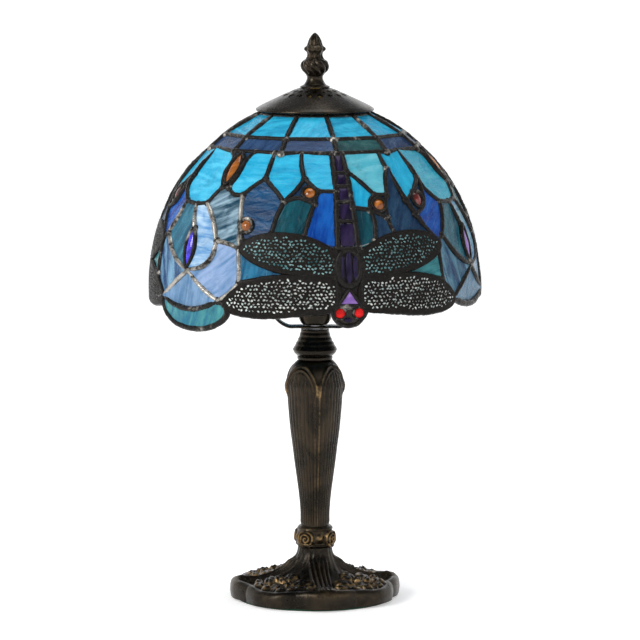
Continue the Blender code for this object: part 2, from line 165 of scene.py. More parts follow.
def grid_faces(rows, columns, joined=False):
    """Quads of a stack of closed rings; joined also joins the last ring to the first."""
    index = np.arange(rows * columns).reshape(rows, columns)
    if joined:
        index = np.vstack([index, index[:1]])
    right = np.roll(index, -1, axis=1)
    return np.stack([index[:-1], index[1:], right[1:], right[:-1]], axis=-1).reshape(-1, 4)


def fan(pole, ring, flip):
    """Triangles from a pole point to a closed ring of point numbers."""
    after = np.roll(ring, -1)
    sides = (ring, after) if not flip else (after, ring)
    return np.stack([np.full(len(ring), pole), *sides], axis=-1)


def add_lathe(parts, rings, start=None, end=None, **values):
    """A stack of closed rings (rows, columns, 3) from top to bottom, counter-clockwise from above,
    closed by a pole point at either end where one is given."""
    rows, columns = rings.shape[:2]
    points = rings.reshape(-1, 3)
    quads = grid_faces(rows, columns)
    tris = []
    extra = []
    if start is not None:
        extra.append(start)
        tris.append(fan(len(points), np.arange(columns), False))
    if end is not None:
        extra.append(end)
        tris.append(fan(len(points) + len(extra) - 1, np.arange(columns) + (rows - 1) * columns, True))
    if extra:
        points = np.vstack([points, extra])
        tris = np.vstack(tris)
    for key, value in values.items():
        value = np.broadcast_to(value, (rows, columns)).reshape(-1, 1)
        values[key] = np.concatenate([value, np.tile(value.mean(), (len(extra), 1))])
    parts.add(points, quads, tris if extra else None, **values)


def show(parts, name, body, material, replaces=(), sharp=None):
    """Put the parts in the scene as one piece, riding the body and slot, and in place of the nodes named."""
    mesh = parts.mesh(name)
    mesh.shade_smooth()
    if sharp is not None:
        mesh.set_sharp_from_angle(angle=math.radians(sharp))
    mesh.materials.append(material)
    piece = bpy.data.objects.new(name, mesh)
    bpy.context.scene.collection.objects.link(piece)
    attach(piece, body)
    if replaces:
        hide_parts(*replaces)
    return piece


def smooth_line(points, count, closed=False):
    """A Catmull-Rom curve through the points, resampled to count even steps."""
    knots = np.asarray(points, dtype=float)
    if closed:
        knots = np.vstack([knots[-1], knots, knots[:2]])
    else:
        knots = np.vstack([2 * knots[0] - knots[1], knots, 2 * knots[-1] - knots[-2]])
    t = np.linspace(0, 1, 12, endpoint=False)[:, None, None]
    a, b, c, d = (knots[i:len(knots) - 3 + i][None] for i in range(4))
    fine = 0.5 * (2 * b + (c - a) * t + (2 * a - 5 * b + 4 * c - d) * t ** 2
                  + (3 * b - a - 3 * c + d) * t ** 3)
    fine = fine.transpose(1, 0, 2).reshape(-1, knots.shape[1])
    fine = np.vstack([fine, knots[-2]])
    return resample(fine, count, closed)


def resample(line, count, closed=False):
    """The same line cut into even steps; a closed one leaves its last point out."""
    line = np.asarray(line, dtype=float)
    steps = np.concatenate([[0], np.cumsum(np.linalg.norm(np.diff(line, axis=0), axis=1))])
    at = np.linspace(0, steps[-1], count, endpoint=not closed)
    return np.column_stack([np.interp(at, steps, line[:, k]) for k in range(line.shape[1])])


def unit(vectors):
    return vectors / np.maximum(np.linalg.norm(vectors, axis=-1, keepdims=True), 1e-12)


# ---------------------------------------------------------------- the dome

def dome(azimuth, fall, depth=0.0):
    """A point on the dome, depth inside its outer face. Its two top rows are flat between twelve
    corners, and the flats fade out below them. Azimuth is from the front dragonfly's axis."""
    azimuth, fall = np.asarray(azimuth, dtype=float), np.asarray(fall, dtype=float)
    turn = np.radians(azimuth + DRAGONFLY_AZIMUTH)
    tilt = np.radians(fall)
    half_facet = 180.0 / FACETS
    off = np.radians(np.mod(azimuth, 2 * half_facet) - half_facet)
    flat = math.cos(math.radians(half_facet)) / np.cos(off)
    fade = np.clip((fall - LOWER_CAME_FALL) / 9.0, 0.0, 1.0)
    flat = flat + (1.0 - flat) * fade * fade * (3 - 2 * fade)
    radius = (DOME_RADIUS - depth) * np.sin(tilt) * flat
    height = DOME_CENTRE_Z + (DOME_HEIGHT - depth) * np.cos(tilt)
    return np.stack([radius * np.sin(turn), -radius * np.cos(turn), height], axis=-1)


def dome_normal(points):
    """Outward normal of the ellipsoid at points near it."""
    scale = np.array([DOME_RADIUS ** -2, DOME_RADIUS ** -2, DOME_HEIGHT ** -2])
    return unit((points - (0, 0, DOME_CENTRE_Z)) * scale)


def add_bead(parts, path, half_width, half_height, closed=False, depth=None, seed=0, sides=10, rough=0.10,
             wear=0.0):
    """A lead line: an oval section carried along a path on the dome. Its width, height and place
    wander by a few slow sine waves, as a hand-run seam of solder does."""
    path = np.asarray(path, dtype=float)
    count = len(path)
    normal = dome_normal(path)
    if closed:
        along = unit(np.roll(path, -1, axis=0) - np.roll(path, 1, axis=0))
    else:
        along = unit(np.gradient(path, axis=0))
    side = unit(np.cross(normal, along))
    rng = np.random.default_rng(seed)
    length = np.concatenate([[0], np.cumsum(np.linalg.norm(np.diff(path, axis=0), axis=1))])
    total = length[-1] + (np.linalg.norm(path[0] - path[-1]) if closed else 0)
    waves = total / WANDER_LENGTHS / MM
    if closed:
        waves = np.maximum(1, np.round(waves))
    phase = rng.uniform(0, math.tau, (3, 4))
    swing = np.sin(math.tau * waves[None, :, None] * (length / total)[None, None, :] + phase[:, :, None])
    swing = (swing * WANDER_SHARES[None, :, None]).sum(axis=1)
    wide = half_width * (1 + rough * swing[0])
    high = half_height * (1 + rough * 0.8 * swing[1])
    middle = path - normal * half_height if depth is None else path - normal * depth
    middle = middle + side * (half_width * rough * 0.5 * swing[2])[:, None]
    turn = np.linspace(0, math.tau, sides, endpoint=False)
    around = (side[:, None, :] * (np.cos(turn) * wide[:, None])[:, :, None]
              + normal[:, None, :] * (np.sin(turn) * high[:, None])[:, :, None])
    rings = middle[:, None, :] + around
    quads = grid_faces(count, sides, closed)[:, [0, 3, 2, 1]]
    points = rings.reshape(-1, 3)
    tris = None
    if not closed:
        points = np.vstack([points, middle[0] - along[0] * half_width * 0.5,
                            middle[-1] + along[-1] * half_width * 0.5])
        tris = np.vstack([fan(count * sides, np.arange(sides), True),
                          fan(count * sides + 1, np.arange(sides) + (count - 1) * sides, False)])
    parts.add(points, quads, tris, wear=wear)


def add_blob(parts, centre, radius, height, wear=0.0):
    """A puddle of solder over a joint: a squashed ball on the dome."""
    normal = dome_normal(centre[None])[0]
    first = unit(np.cross(normal, (0.0, 0.0, 1.0)))
    second = np.cross(normal, first)
    tilt = np.linspace(0.28, math.pi - 0.28, 7)
    turn = np.linspace(0, math.tau, 12, endpoint=False)
    ring = first * np.cos(turn)[:, None] + second * np.sin(turn)[:, None]
    rings = centre + ring[None] * radius * np.sin(tilt)[:, None, None] \
        + normal * (height * np.cos(tilt))[:, None, None]
    add_lathe(parts, rings, centre + normal * height, centre - normal * height, wear=wear)


def pane_frame(loop):
    """Middle, flat normal and flow axes of a closed loop."""
    middle = loop.mean(axis=0)
    spread = loop - middle
    normal = unit(np.linalg.svd(spread, full_matrices=False)[2][2])
    if normal @ dome_normal(middle[None])[0] < 0:
        normal = -normal
    across = unit(np.cross((0.0, 0.0, 1.0), normal))
    return middle, normal, across, np.cross(normal, across)


def add_pane(parts, loop, flow_turn, seed, dark, light, depth=GLASS_DEPTH, thickness=GLASS_THICKNESS,
             bow=0.0, margin=0.5 * MM, flatten=0.9, rings=5):
    """A pane of sheet glass: the loop's points are pressed towards their common plane, joined to the
    middle in rings that swell by a paraboloid, and closed by a side wall and a flat back."""
    middle, normal, across, up = pane_frame(loop)
    lift = (loop - middle) @ normal
    edge = loop - normal * (lift * flatten)[:, None]
    edge = edge - (edge - middle) / np.linalg.norm(edge - middle, axis=1)[:, None] * margin
    edge = edge - normal * depth
    core = middle - normal * depth
    share = np.linspace(0, 1, rings)[1:]
    front = core + (edge - core)[None] * share[:, None, None] \
        + normal * (bow * (1 - share ** 2))[:, None, None]
    back = core + (edge - core)[None] * share[::-1, None, None] - normal * thickness
    stack = np.concatenate([front, back])
    columns = len(loop)
    points = np.vstack([stack.reshape(-1, 3), core + normal * bow, core - normal * thickness])
    quads = grid_faces(len(stack), columns)
    tris = np.vstack([fan(len(points) - 2, np.arange(columns), False),
                      fan(len(points) - 1, np.arange(columns) + (len(stack) - 1) * columns, True)])
    clockwise = np.cross(loop[1] - middle, loop[0] - middle) @ normal > 0
    if clockwise:
        quads, tris = quads[:, ::-1], tris[:, ::-1]
    offset = points - middle
    c, s = math.cos(flow_turn), math.sin(flow_turn)
    u, v = offset @ across, offset @ up
    rng = np.random.default_rng(seed)
    shift = rng.uniform(-1, 1, 3)
    flow = np.column_stack([u * c + v * s, -u * s + v * c, offset @ normal]) + shift
    ones = np.ones((len(points), 1))
    parts.add(points, quads, tris, flow=flow, glass_dark=ones * dark, glass_light=ones * light)


# ---------------------------------------------------------------- the glass pattern
# One sector runs from a dragonfly's axis (azimuth 0) to the next (azimuth 120). Places are
# (azimuth, fall); each edge is shared by the panes on both sides of it.

EDGES = {
    "top_g": [(2.6, 40.0), (24.6, 40.0)],
    "top_k": [(24.6, 40.0), (39.5, 40.0)],
    "top_m": [(39.5, 40.0), (59.5, 40.0)],
    "top_x": [(59.5, 40.0), (73.5, 40.0)],
    "top_d": [(73.5, 40.0), (86.5, 40.0)],
    "top_e": [(86.5, 40.0), (101.0, 40.0)],
    "top_f": [(101.0, 40.0), (117.4, 40.0)],
    "tail_right_1": [(2.6, 40.0), (2.8, 47.2)],
    "tail_right_2": [(2.8, 47.2), (3.1, 60.3)],
    "tail_right_3": [(3.1, 60.3), (3.7, 73.0)],
    "tail_left_1": [(117.4, 40.0), (117.0, 54.8)],
    "tail_left_2": [(117.0, 54.8), (116.3, 73.0)],
    "long_1": [(24.6, 40.0), (24.0, 43.5), (24.2, 47.0)],
    "long_2": [(24.2, 47.0), (25.5, 53.0), (27.6, 58.6)],
    "long_3": [(27.6, 58.6), (30.4, 63.6)],
    "long_4": [(30.4, 63.6), (33.6, 68.2), (38.3, 72.6)],
    "leaf_1": [(24.2, 47.0), (21.2, 50.5), (18.7, 56.4)],
    "leaf_2": [(18.7, 56.4), (17.0, 60.0), (16.7, 64.0)],
    "leaf_3": [(16.7, 64.0), (17.4, 67.0), (18.6, 69.6)],
    "g_foot": [(18.7, 56.4), (13.2, 56.2)],
    "g_slope": [(13.2, 56.2), (8.0, 51.2), (2.8, 47.2)],
    "small_right": [(13.2, 56.2), (10.8, 58.2), (9.8, 61.2)],
    "small_foot": [(3.1, 60.3), (9.8, 61.2)],
    "h_right": [(9.8, 61.2), (11.1, 65.0), (10.3, 71.4)],
    "i_top": [(9.8, 61.2), (16.7, 64.0)],
    "k_foot": [(27.6, 58.6), (33.5, 55.4), (39.6, 51.0)],
    "k_right": [(39.5, 40.0), (39.6, 51.0)],
    "l_top": [(39.6, 51.0), (41.0, 55.6), (47.2, 60.2)],
    "l_left": [(30.4, 63.6), (36.8, 59.8), (39.6, 51.0)],
    "m_foot_1": [(47.2, 60.2), (55.0, 60.8)],
    "m_foot_2": [(55.0, 60.8), (60.9, 60.0)],
    "m_right_1": [(59.5, 40.0), (63.2, 43.8), (63.2, 49.0), (65.8, 54.4)],
    "m_right_2": [(65.8, 54.4), (60.9, 60.0)],
    "d_left": [(73.5, 40.0), (71.0, 43.8), (70.9, 48.6), (69.4, 54.2)],
    "x_foot": [(65.8, 54.4), (69.4, 54.2)],
    "d_foot_1": [(69.4, 54.2), (73.2, 56.4), (77.6, 56.4)],
    "d_foot_2": [(77.6, 56.4), (81.0, 53.6), (86.0, 50.4)],
    "d_right": [(86.5, 40.0), (86.0, 50.4)],
    "e_left": [(86.0, 50.4), (91.6, 54.4), (96.0, 58.2)],
    "e_foot": [(96.0, 58.2), (100.0, 54.6), (103.8, 50.2)],
    "e_right": [(101.0, 40.0), (101.8, 45.0), (103.8, 50.2)],
    "f_foot_1": [(103.8, 50.2), (109.6, 54.6)],
    "f_foot_2": [(109.6, 54.6), (117.0, 54.8)],
    "x1_left": [(77.6, 56.4), (78.4, 61.0), (79.6, 65.5)],
    "x1_foot": [(79.6, 65.5), (81.7, 71.4)],
    "x1_right": [(96.0, 58.2), (93.8, 63.0), (92.4, 68.8)],
    "x2_top": [(96.0, 58.2), (101.6, 57.0), (108.0, 58.8)],
    "x2_right": [(108.0, 58.8), (106.2, 63.5), (104.4, 69.8)],
    "x3_top": [(108.0, 58.8), (109.6, 54.6)],
    "seam_1": [(55.0, 60.8), (56.0, 64.6), (58.0, 68.6)],
    "n_left": [(47.2, 60.2), (45.2, 65.0), (41.2, 71.0)],
    "n_slope": [(41.2, 71.0), (47.0, 76.4), (53.0, 79.8), (58.7, 81.6)],
    "r_right_1": [(60.9, 60.0), (66.4, 65.2), (70.6, 71.8)],
    "r_right_2": [(70.6, 71.8), (69.4, 76.8), (65.2, 80.2), (58.7, 81.6)],
    "s_side": [(79.6, 65.5), (80.4, 73.6)],
    "s_foot": [(70.6, 71.8), (75.0, 72.4), (80.4, 73.6)],
    "jamb_right_1": [(38.3, 72.6), (41.2, 71.0)],
    "jamb_right_2": [(38.3, 72.6), (37.5, 77.0), (37.8, 84.4)],
    "jamb_right_3": [(37.8, 84.4), (40.4, 87.8), (43.8, 90.6)],
    "jamb_left_1": [(80.4, 73.6), (81.2, 79.0), (81.6, 84.2)],
    "jamb_left_2": [(81.6, 84.2), (78.0, 87.6), (73.0, 90.2)],
    "o_foot": [(58.7, 81.6), (50.6, 86.4), (43.8, 90.6)],
    "q_foot": [(58.7, 81.6), (65.4, 86.2), (73.0, 90.2)],
    "p_foot": [(43.8, 90.6), (51.0, 92.9), (60.0, 93.6), (67.0, 92.4), (73.0, 90.2)],
    "wedge_right_top": [(15.0, 81.5), (27.5, 79.4), (38.3, 72.6)],
    "wedge_right_foot": [(15.0, 81.5), (27.0, 82.3), (37.8, 84.4)],
    "wedge_left_top": [(105.0, 81.5), (92.5, 79.4), (80.4, 73.6)],
    "wedge_left_foot": [(105.0, 81.5), (93.0, 82.3), (81.6, 84.2)],
}

# Edges that lie under a wing or a jewel carry no lead of their own.
BARE_EDGES = {
    "wing_1": [(3.7, 73.0), (10.3, 71.4)],
    "wing_2": [(10.3, 71.4), (18.6, 69.6)],
    "wing_3": [(18.6, 69.6), (28.0, 69.6), (34.6, 71.2), (38.3, 72.6)],
    "wing_4": [(116.3, 73.0), (110.0, 71.5), (104.4, 69.8)],
    "wing_5": [(104.4, 69.8), (98.0, 69.2), (92.4, 68.8)],
    "wing_6": [(92.4, 68.8), (86.0, 69.8), (81.7, 71.4)],
    "wing_7": [(81.7, 71.4), (80.4, 73.6)],
    "seam_2": [(58.0, 68.6), (58.7, 81.6)],
}

# Each sheet of glass: its darker and its lighter streaks.
SHEETS = {
    "turquoise": ((0.008, 0.260, 0.460), (0.030, 0.400, 0.610)),
    "sky": ((0.014, 0.310, 0.520), (0.070, 0.470, 0.690)),
    "slate_turquoise": ((0.050, 0.330, 0.430), (0.120, 0.430, 0.520)),
    "navy": ((0.007, 0.025, 0.075), (0.028, 0.066, 0.150)),
    "bottle": ((0.005, 0.034, 0.042), (0.018, 0.084, 0.086)),
    "deep_blue": ((0.003, 0.024, 0.072), (0.010, 0.066, 0.160)),
    "royal": ((0.002, 0.026, 0.190), (0.008, 0.095, 0.380)),
    "ink": ((0.005, 0.020, 0.055), (0.016, 0.050, 0.100)),
    "petrol": ((0.002, 0.026, 0.040), (0.006, 0.068, 0.090)),
    "lagoon": ((0.003, 0.055, 0.130), (0.016, 0.150, 0.270)),
    "sea": ((0.018, 0.130, 0.155), (0.060, 0.270, 0.290)),
    "leaf": ((0.006, 0.055, 0.105), (0.035, 0.165, 0.240)),
    "ice": ((0.060, 0.210, 0.450), (0.400, 0.560, 0.710)),
    "mottle": ((0.004, 0.036, 0.066), (0.260, 0.390, 0.480)),
    "lilac": ((0.090, 0.190, 0.350), (0.250, 0.350, 0.550)),
    "river": ((0.004, 0.036, 0.120), (0.160, 0.320, 0.470)),
    "haze": ((0.060, 0.150, 0.280), (0.170, 0.280, 0.440)),
    "reef": ((0.012, 0.110, 0.190), (0.070, 0.280, 0.270)),
    "violet": ((0.004, 0.002, 0.012), (0.020, 0.012, 0.046)),
    "amethyst": ((0.150, 0.075, 0.300), (0.300, 0.170, 0.480)),
    "amber": ((0.170, 0.040, 0.004), (0.460, 0.150, 0.014)),
    "garnet": ((0.035, 0.004, 0.004), (0.160, 0.016, 0.012)),
    "cobalt": ((0.020, 0.012, 0.300), (0.060, 0.040, 0.850)),
    "scarlet": ((0.300, 0.004, 0.004), (0.750, 0.012, 0.012)),
    "wing_teal": ((0.03, 0.17, 0.19), (0.50, 0.80, 0.80)),
    "wing_pearl": ((0.62, 0.74, 0.72), (1.00, 1.00, 0.96)),
}
HEAD_COLOUR = np.array([0.03, 0.026, 0.021])

# Each pane: its edges in order, its sheet, the turn of its streaks in degrees and its kind of node.
PANES = {
    "g": ("top_g long_1 leaf_1 g_foot g_slope tail_right_1", "slate_turquoise", 12, "right"),
    "small": ("g_slope small_right small_foot tail_right_2", "turquoise", 80, "right"),
    "cell_1": ("g_foot leaf_2 i_top small_right", "ink", 0, "right"),
    "h": ("small_foot h_right wing_1 tail_right_3", "petrol", 85, "right"),
    "i": ("i_top leaf_3 wing_2 h_right", "ink", 80, "right"),
    "leaf": ("long_2 long_3 long_4 wing_3 leaf_3 leaf_2 leaf_1", "ink", 62, "right"),
    "k": ("top_k k_right k_foot long_2 long_1", "turquoise", 75, "right"),
    "cell_2": ("k_foot l_left long_3", "ink", 0, "right"),
    "royal_right": ("l_left l_top n_left jamb_right_1 long_4", "royal", 40, "right"),
    "wedge_right": ("wedge_right_top jamb_right_2 wedge_right_foot", "sea", 10, "right"),
    "m": ("top_m m_right_1 m_right_2 m_foot_2 m_foot_1 l_top k_right", "sky", 0, "lobe"),
    "cell_3": ("top_x d_left x_foot m_right_1", "ink", 0, "lobe"),
    "d": ("top_d d_right d_foot_2 d_foot_1 d_left", "sky", 0, "left"),
    "deep": ("d_foot_2 e_left x1_right wing_6 x1_foot x1_left", "deep_blue", 0, "left"),
    "cell_4": ("s_side wing_7 x1_foot", "ink", 0, "left"),
    "e": ("top_e e_right e_foot e_left d_right", "turquoise", 0, "left"),
    "f": ("top_f tail_left_1 f_foot_2 f_foot_1 e_right", "turquoise", 0, "left"),
    "cell_5": ("f_foot_1 x3_top x2_top e_foot", "ink", 0, "left"),
    "x2": ("x2_top x2_right wing_5 x1_right", "petrol", 70, "left"),
    "royal_left": ("x3_top f_foot_2 tail_left_2 wing_4 x2_right", "royal", 80, "left"),
    "wedge_left": ("wedge_left_top jamb_left_1 wedge_left_foot", "lagoon", 85, "left"),
    "n": ("m_foot_1 seam_1 seam_2 n_slope n_left", "leaf", 60, "lobe"),
    "r": ("m_foot_2 r_right_1 r_right_2 seam_2 seam_1", "ice", 0, "lobe"),
    "s": ("m_right_2 x_foot d_foot_1 x1_left s_side s_foot r_right_1", "mottle", 25, "lobe"),
    "o": ("n_slope o_foot jamb_right_3 jamb_right_2 jamb_right_1", "river", 110, "lobe"),
    "p": ("q_foot p_foot o_foot", "haze", 75, "lobe"),
    "q": ("s_foot jamb_left_1 jamb_left_2 q_foot r_right_2", "lilac", 35, "lobe"),
}

# Jewels: place, half-width and half-length in millimetres, sheet and whether the ends are pointed.
JEWELS = [
    ((14.2, 59.7), 3.6, 3.6, "amber", False),
    ((82.0, 66.6), 3.6, 3.6, "amber", False),
    ((106.2, 55.2), 3.6, 3.6, "amber", False),
    ((33.6, 58.4), 3.6, 4.9, "garnet", False),
    ((67.1, 47.2), 3.5, 11.4, "amber", True),
    ((58.0, 74.9), 3.3, 11.6, "cobalt", True),
]

# Edges painted as bare silver solder on the lobe nearest the key light: partly bare solder, partly a painted
# highlight.
BARE_AND_HIGHLIT_EDGES = ("s_side", "x1_foot", "x1_left", "s_foot", "jamb_left_1", "jamb_left_2", "r_right_1",
            "r_right_2", "n_slope", "o_foot", "q_foot", "p_foot", "seam_1", "n_left")
BARE_AND_HIGHLIT_LOBE = 2
SILVERED_JEWEL = 1

# Closed outlines. A wing's sixth point is its tip.
UPPER_WING = [(3.9, 75.8), (10.3, 71.5), (18.6, 69.3), (28.0, 69.1), (35.6, 71.0), (38.6, 73.6),
              (35.6, 76.6), (27.5, 79.5), (17.0, 81.1), (4.4, 82.2)]
LOWER_WING = [(4.4, 84.0), (15.5, 81.9), (27.0, 82.3), (36.4, 84.6), (42.4, 88.4), (43.8, 90.9),
              (40.6, 93.2), (30.0, 94.0), (17.0, 93.0), (5.4, 91.6)]
LOBE_BORDER = [(43.8, 90.6), (42.9, 93.0), (45.2, 95.9), (51.0, 98.6), (60.0, 99.6), (68.0, 98.9),
               (74.4, 96.4), (76.8, 93.6), (75.6, 91.2), (73.0, 90.2)]
LOBE_HAS_BORDER = (False, True, True)
WING_TIP = 5
WING_RIM = [(5.4, 91.8), (17.0, 93.1), (30.0, 94.1), (40.6, 93.2), (43.8, 90.7)]
HEAD = [(5.6, 91.2), (5.6, 93.0), (4.0, 95.2), (1.8, 96.6), (-1.8, 96.7), (-4.4, 95.2), (-5.8, 92.8),
        (-5.4, 91.0)]
HEART = [(0.0, 85.9), (3.5, 90.4), (-3.5, 90.4)]
BODY_EDGE = [(5.0, 72.8), (4.9, 76.5), (5.2, 80.0), (5.1, 84.0), (5.1, 88.0), (5.6, 91.8)]
BODY_FLANK = [(4.2, 74.0), (4.9, 77.8), (4.9, 82.0), (4.3, 84.8), (4.3, 88.2), (4.7, 91.4)]

# Each square of a tail: its upper and lower fall and its half-width in millimetres.
TAIL_SEGMENTS = [(40.8, 47.4, 1.9), (48.5, 52.4, 2.7), (53.6, 57.8, 3.2), (59.1, 64.2, 3.8),
                 (65.6, 72.8, 4.5)]


def pattern_line(name, steps):
    """An edge of the pattern as (azimuth, fall) points, smooth through its corners."""
    points = EDGES.get(name) or BARE_EDGES[name]
    return resample(points, steps) if len(points) == 2 else smooth_line(points, steps)


def pane_loop(names):
    """The edges named, joined end to end into one closed loop of (azimuth, fall)."""
    lines = [pattern_line(name, 9) for name in names.split()]
    if np.linalg.norm(lines[0][-1] - lines[1], axis=1)[[0, -1]].min() > 0.01:
        lines[0] = lines[0][::-1]
    loop = [lines[0][:-1]]
    end = lines[0][-1]
    for line in lines[1:]:
        if np.linalg.norm(line[0] - end) > np.linalg.norm(line[-1] - end):
            line = line[::-1]
        loop.append(line[:-1])
        end = line[-1]
    return np.vstack(loop)


# ---------------------------------------------------------------- node helpers

class Graph:
    """Short calls for the nodes of one tree. A node's output is what the calls give and take."""

    def __init__(self, tree):
        self.tree = tree

    def node(self, kind, **settings):
        made = self.tree.nodes.new(kind)
        for key, value in settings.items():
            setattr(made, key, value)
        return made

    def feed(self, socket, value):
        if isinstance(value, bpy.types.NodeSocket):
            self.tree.links.new(value, socket)
        else:
            socket.default_value = value

    def place(self):
        return self.node("ShaderNodeTexCoord").outputs["Object"]

    def attribute(self, name, output="Fac"):
        return self.node("ShaderNodeAttribute", attribute_name=name).outputs[output]

    def stretched(self, vector, scale):
        made = self.node("ShaderNodeMapping")
        self.feed(made.inputs["Vector"], vector)
        made.inputs["Scale"].default_value = scale
        return made.outputs["Vector"]

    def noise(self, vector, scale, detail=3.0, roughness=0.5, distortion=0.0):
        made = self.node("ShaderNodeTexNoise")
        self.feed(made.inputs["Vector"], vector)
        made.inputs["Scale"].default_value = scale
        made.inputs["Detail"].default_value = detail
        made.inputs["Roughness"].default_value = roughness
        made.inputs["Distortion"].default_value = distortion
        return made.outputs["Fac"]

    def speckle(self, vector, scale):
        made = self.node("ShaderNodeTexVoronoi")
        self.feed(made.inputs["Vector"], vector)
        made.inputs["Scale"].default_value = scale
        return made.outputs["Distance"]

    def span(self, value, low, high, to_low=0.0, to_high=1.0):
        made = self.node("ShaderNodeMapRange", interpolation_type="SMOOTHSTEP")
        for key, given in zip(("Value", "From Min", "From Max", "To Min", "To Max"),
                              (value, low, high, to_low, to_high)):
            self.feed(made.inputs[key], given)
        return made.outputs["Result"]

    def math(self, operation, first, second):
        made = self.node("ShaderNodeMath", operation=operation)
        self.feed(made.inputs[0], first)
        self.feed(made.inputs[1], second)
        return made.outputs["Value"]

    def mix(self, share, first, second):
        made = self.node("ShaderNodeMix", data_type="RGBA")
        for place, value in ((0, share), (6, first), (7, second)):
            if not isinstance(value, (bpy.types.NodeSocket, float)):
                value = (*value[:3], 1.0)
            self.feed(made.inputs[place], value)
        return made.outputs[2]

    def bump(self, height, distance, strength=1.0):
        made = self.node("ShaderNodeBump")
        self.feed(made.inputs["Height"], height)
        made.inputs["Distance"].default_value = distance
        made.inputs["Strength"].default_value = strength
        return made.outputs["Normal"]


def new_group(name, inputs, extra=()):
    """An effect group with these inputs. It puts out a colour, a polish from 0 to 1, a height and
    any extra mask named."""
    tree = bpy.data.node_groups.new(name, "ShaderNodeTree")
    for label, kind in inputs:
        tree.interface.new_socket(label, in_out="INPUT", socket_type=kind)
    outputs = (("Color", "NodeSocketColor"), ("Polish", "NodeSocketFloat"), ("Height", "NodeSocketFloat"))
    for label, kind in (*outputs, *((label, "NodeSocketFloat") for label in extra)):
        tree.interface.new_socket(label, in_out="OUTPUT", socket_type=kind)
    graph = Graph(tree)
    return graph, graph.node("NodeGroupInput").outputs, graph.node("NodeGroupOutput").inputs


def finish_of(name, tree, values, rough, relief, metallic=0.0, coat=0.0, specular=0.5):
    """A material on one shader with an effect group set to these values. Attributes are given by name."""
    made = bpy.data.materials.new(name)
    made.use_nodes = True
    graph = Graph(made.node_tree)
    shader = made.node_tree.nodes["Principled BSDF"]
    effect = graph.node("ShaderNodeGroup", node_tree=tree)
    for label, value in values.items():
        if isinstance(value, str):
            kind = {"NodeSocketVector": "Vector", "NodeSocketColor": "Color"}.get(
                effect.inputs[label].bl_idname, "Fac")
            value = graph.attribute(value, kind)
        elif isinstance(value, tuple):
            value = (*value, 1.0)
        graph.feed(effect.inputs[label], value)
    graph.feed(shader.inputs["Base Color"], effect.outputs["Color"])
    graph.feed(shader.inputs["Roughness"], graph.span(effect.outputs["Polish"], 0.25, 0.75, *rough))
    graph.feed(shader.inputs["Normal"], graph.bump(effect.outputs["Height"], relief))
    graph.feed(shader.inputs["Metallic"], effect.outputs["Bare_and_highlit"] if metallic is None else metallic)
    shader.inputs["Coat Weight"].default_value = coat
    shader.inputs["Coat Roughness"].default_value = 0.06
    shader.inputs["Specular IOR Level"].default_value = specular
    return made


# ---------------------------------------------------------------- effects

def sheet_glass_group():
    """Opalescent sheet: long soft streaks along the pane's own flow, clouds across them, a few thin
    milky wisps, a little grime, and a rolled surface with small seeds."""
    graph, given, out = new_group("streaky sheet glass", (
        ("Flow", "NodeSocketVector"), ("Dark", "NodeSocketColor"), ("Light", "NodeSocketColor"),
        ("Milk", "NodeSocketFloat")))
    flow, dark, light = given["Flow"], given["Dark"], given["Light"]
    streak = graph.noise(graph.stretched(flow, (26.0, 190.0, 26.0)), 1.0, 4.0, 0.55, 0.9)
    cloud = graph.noise(graph.stretched(flow, (60.0, 110.0, 60.0)), 1.0, 3.0, 0.5, 1.4)
    wisp = graph.noise(graph.stretched(flow, (34.0, 420.0, 34.0)), 1.0, 3.0, 0.6, 1.2)
    share = graph.span(graph.math("ADD", graph.math("MULTIPLY", streak, 0.65),
                                  graph.math("MULTIPLY", cloud, 0.35)), 0.36, 0.66)
    colour = graph.mix(share, dark, light)
    milky = graph.mix(0.16, light, (0.60, 0.78, 0.88))
    colour = graph.mix(graph.math("MULTIPLY", graph.span(wisp, 0.58, 0.74), given["Milk"]), colour, milky)
    place = graph.place()
    grime = graph.noise(place, 90.0, 5.0, 0.65)
    colour = graph.mix(graph.span(grime, 0.50, 0.78, 0.0, 0.30), colour, (0.012, 0.016, 0.022))
    graph.feed(out["Color"], colour)
    graph.feed(out["Polish"], graph.noise(place, 210.0, 4.0, 0.6))
    roll = graph.noise(graph.stretched(flow, (120.0, 260.0, 120.0)), 1.0, 3.0, 0.5, 0.4)
    pits = graph.span(graph.speckle(place, 620.0), 0.0, 0.16, -0.35, 0.0)
    graph.feed(out["Height"], graph.math("ADD", roll, pits))
    return graph.tree


def lead_group():
    """Lead and solder under dark patina: bare silver shows in lumps and where the wear says, and on the lobe
    nearest the key light that silver is partly a painted highlight.
    """
    graph, given, out = new_group("patina on lead", (
        ("Dark", "NodeSocketColor"), ("Brown", "NodeSocketColor"), ("Bright", "NodeSocketColor"),
        ("Wear_and_highlight", "NodeSocketFloat")), ("Bare_and_highlit",))
    place = graph.place()
    lumps = graph.noise(place, 230.0, 4.0, 0.6, 0.5)
    fine = graph.noise(place, 900.0, 5.0, 0.7)
    broad = graph.noise(place, 38.0, 2.0, 0.5)
    worn = graph.math("ADD", graph.math("ADD", graph.math("MULTIPLY", lumps, 0.5),
                                        graph.math("MULTIPLY", broad, 0.5)),
                      graph.math("MULTIPLY", given["Wear_and_highlight"], 0.20))
    colour = graph.mix(graph.span(fine, 0.35, 0.7), given["Dark"], given["Brown"])
    # Silver where lumps and the wear input say: bare solder, plus a painted highlight on the lobe nearest the
    # key light.
    bare_and_highlit = graph.span(worn, 0.60, 0.80)
    graph.feed(out["Color"], graph.mix(bare_and_highlit, colour, given["Bright"]))
    graph.feed(out["Bare_and_highlit"], graph.span(bare_and_highlit, 0.0, 1.0, 0.05, 1.0))
    graph.feed(out["Polish"], graph.math("ADD", graph.math("MULTIPLY", lumps, 0.7),
                                         graph.math("MULTIPLY", fine, 0.3)))
    graph.feed(out["Height"], graph.math("ADD", lumps, graph.math("MULTIPLY", fine, 0.22)))
    return graph.tree


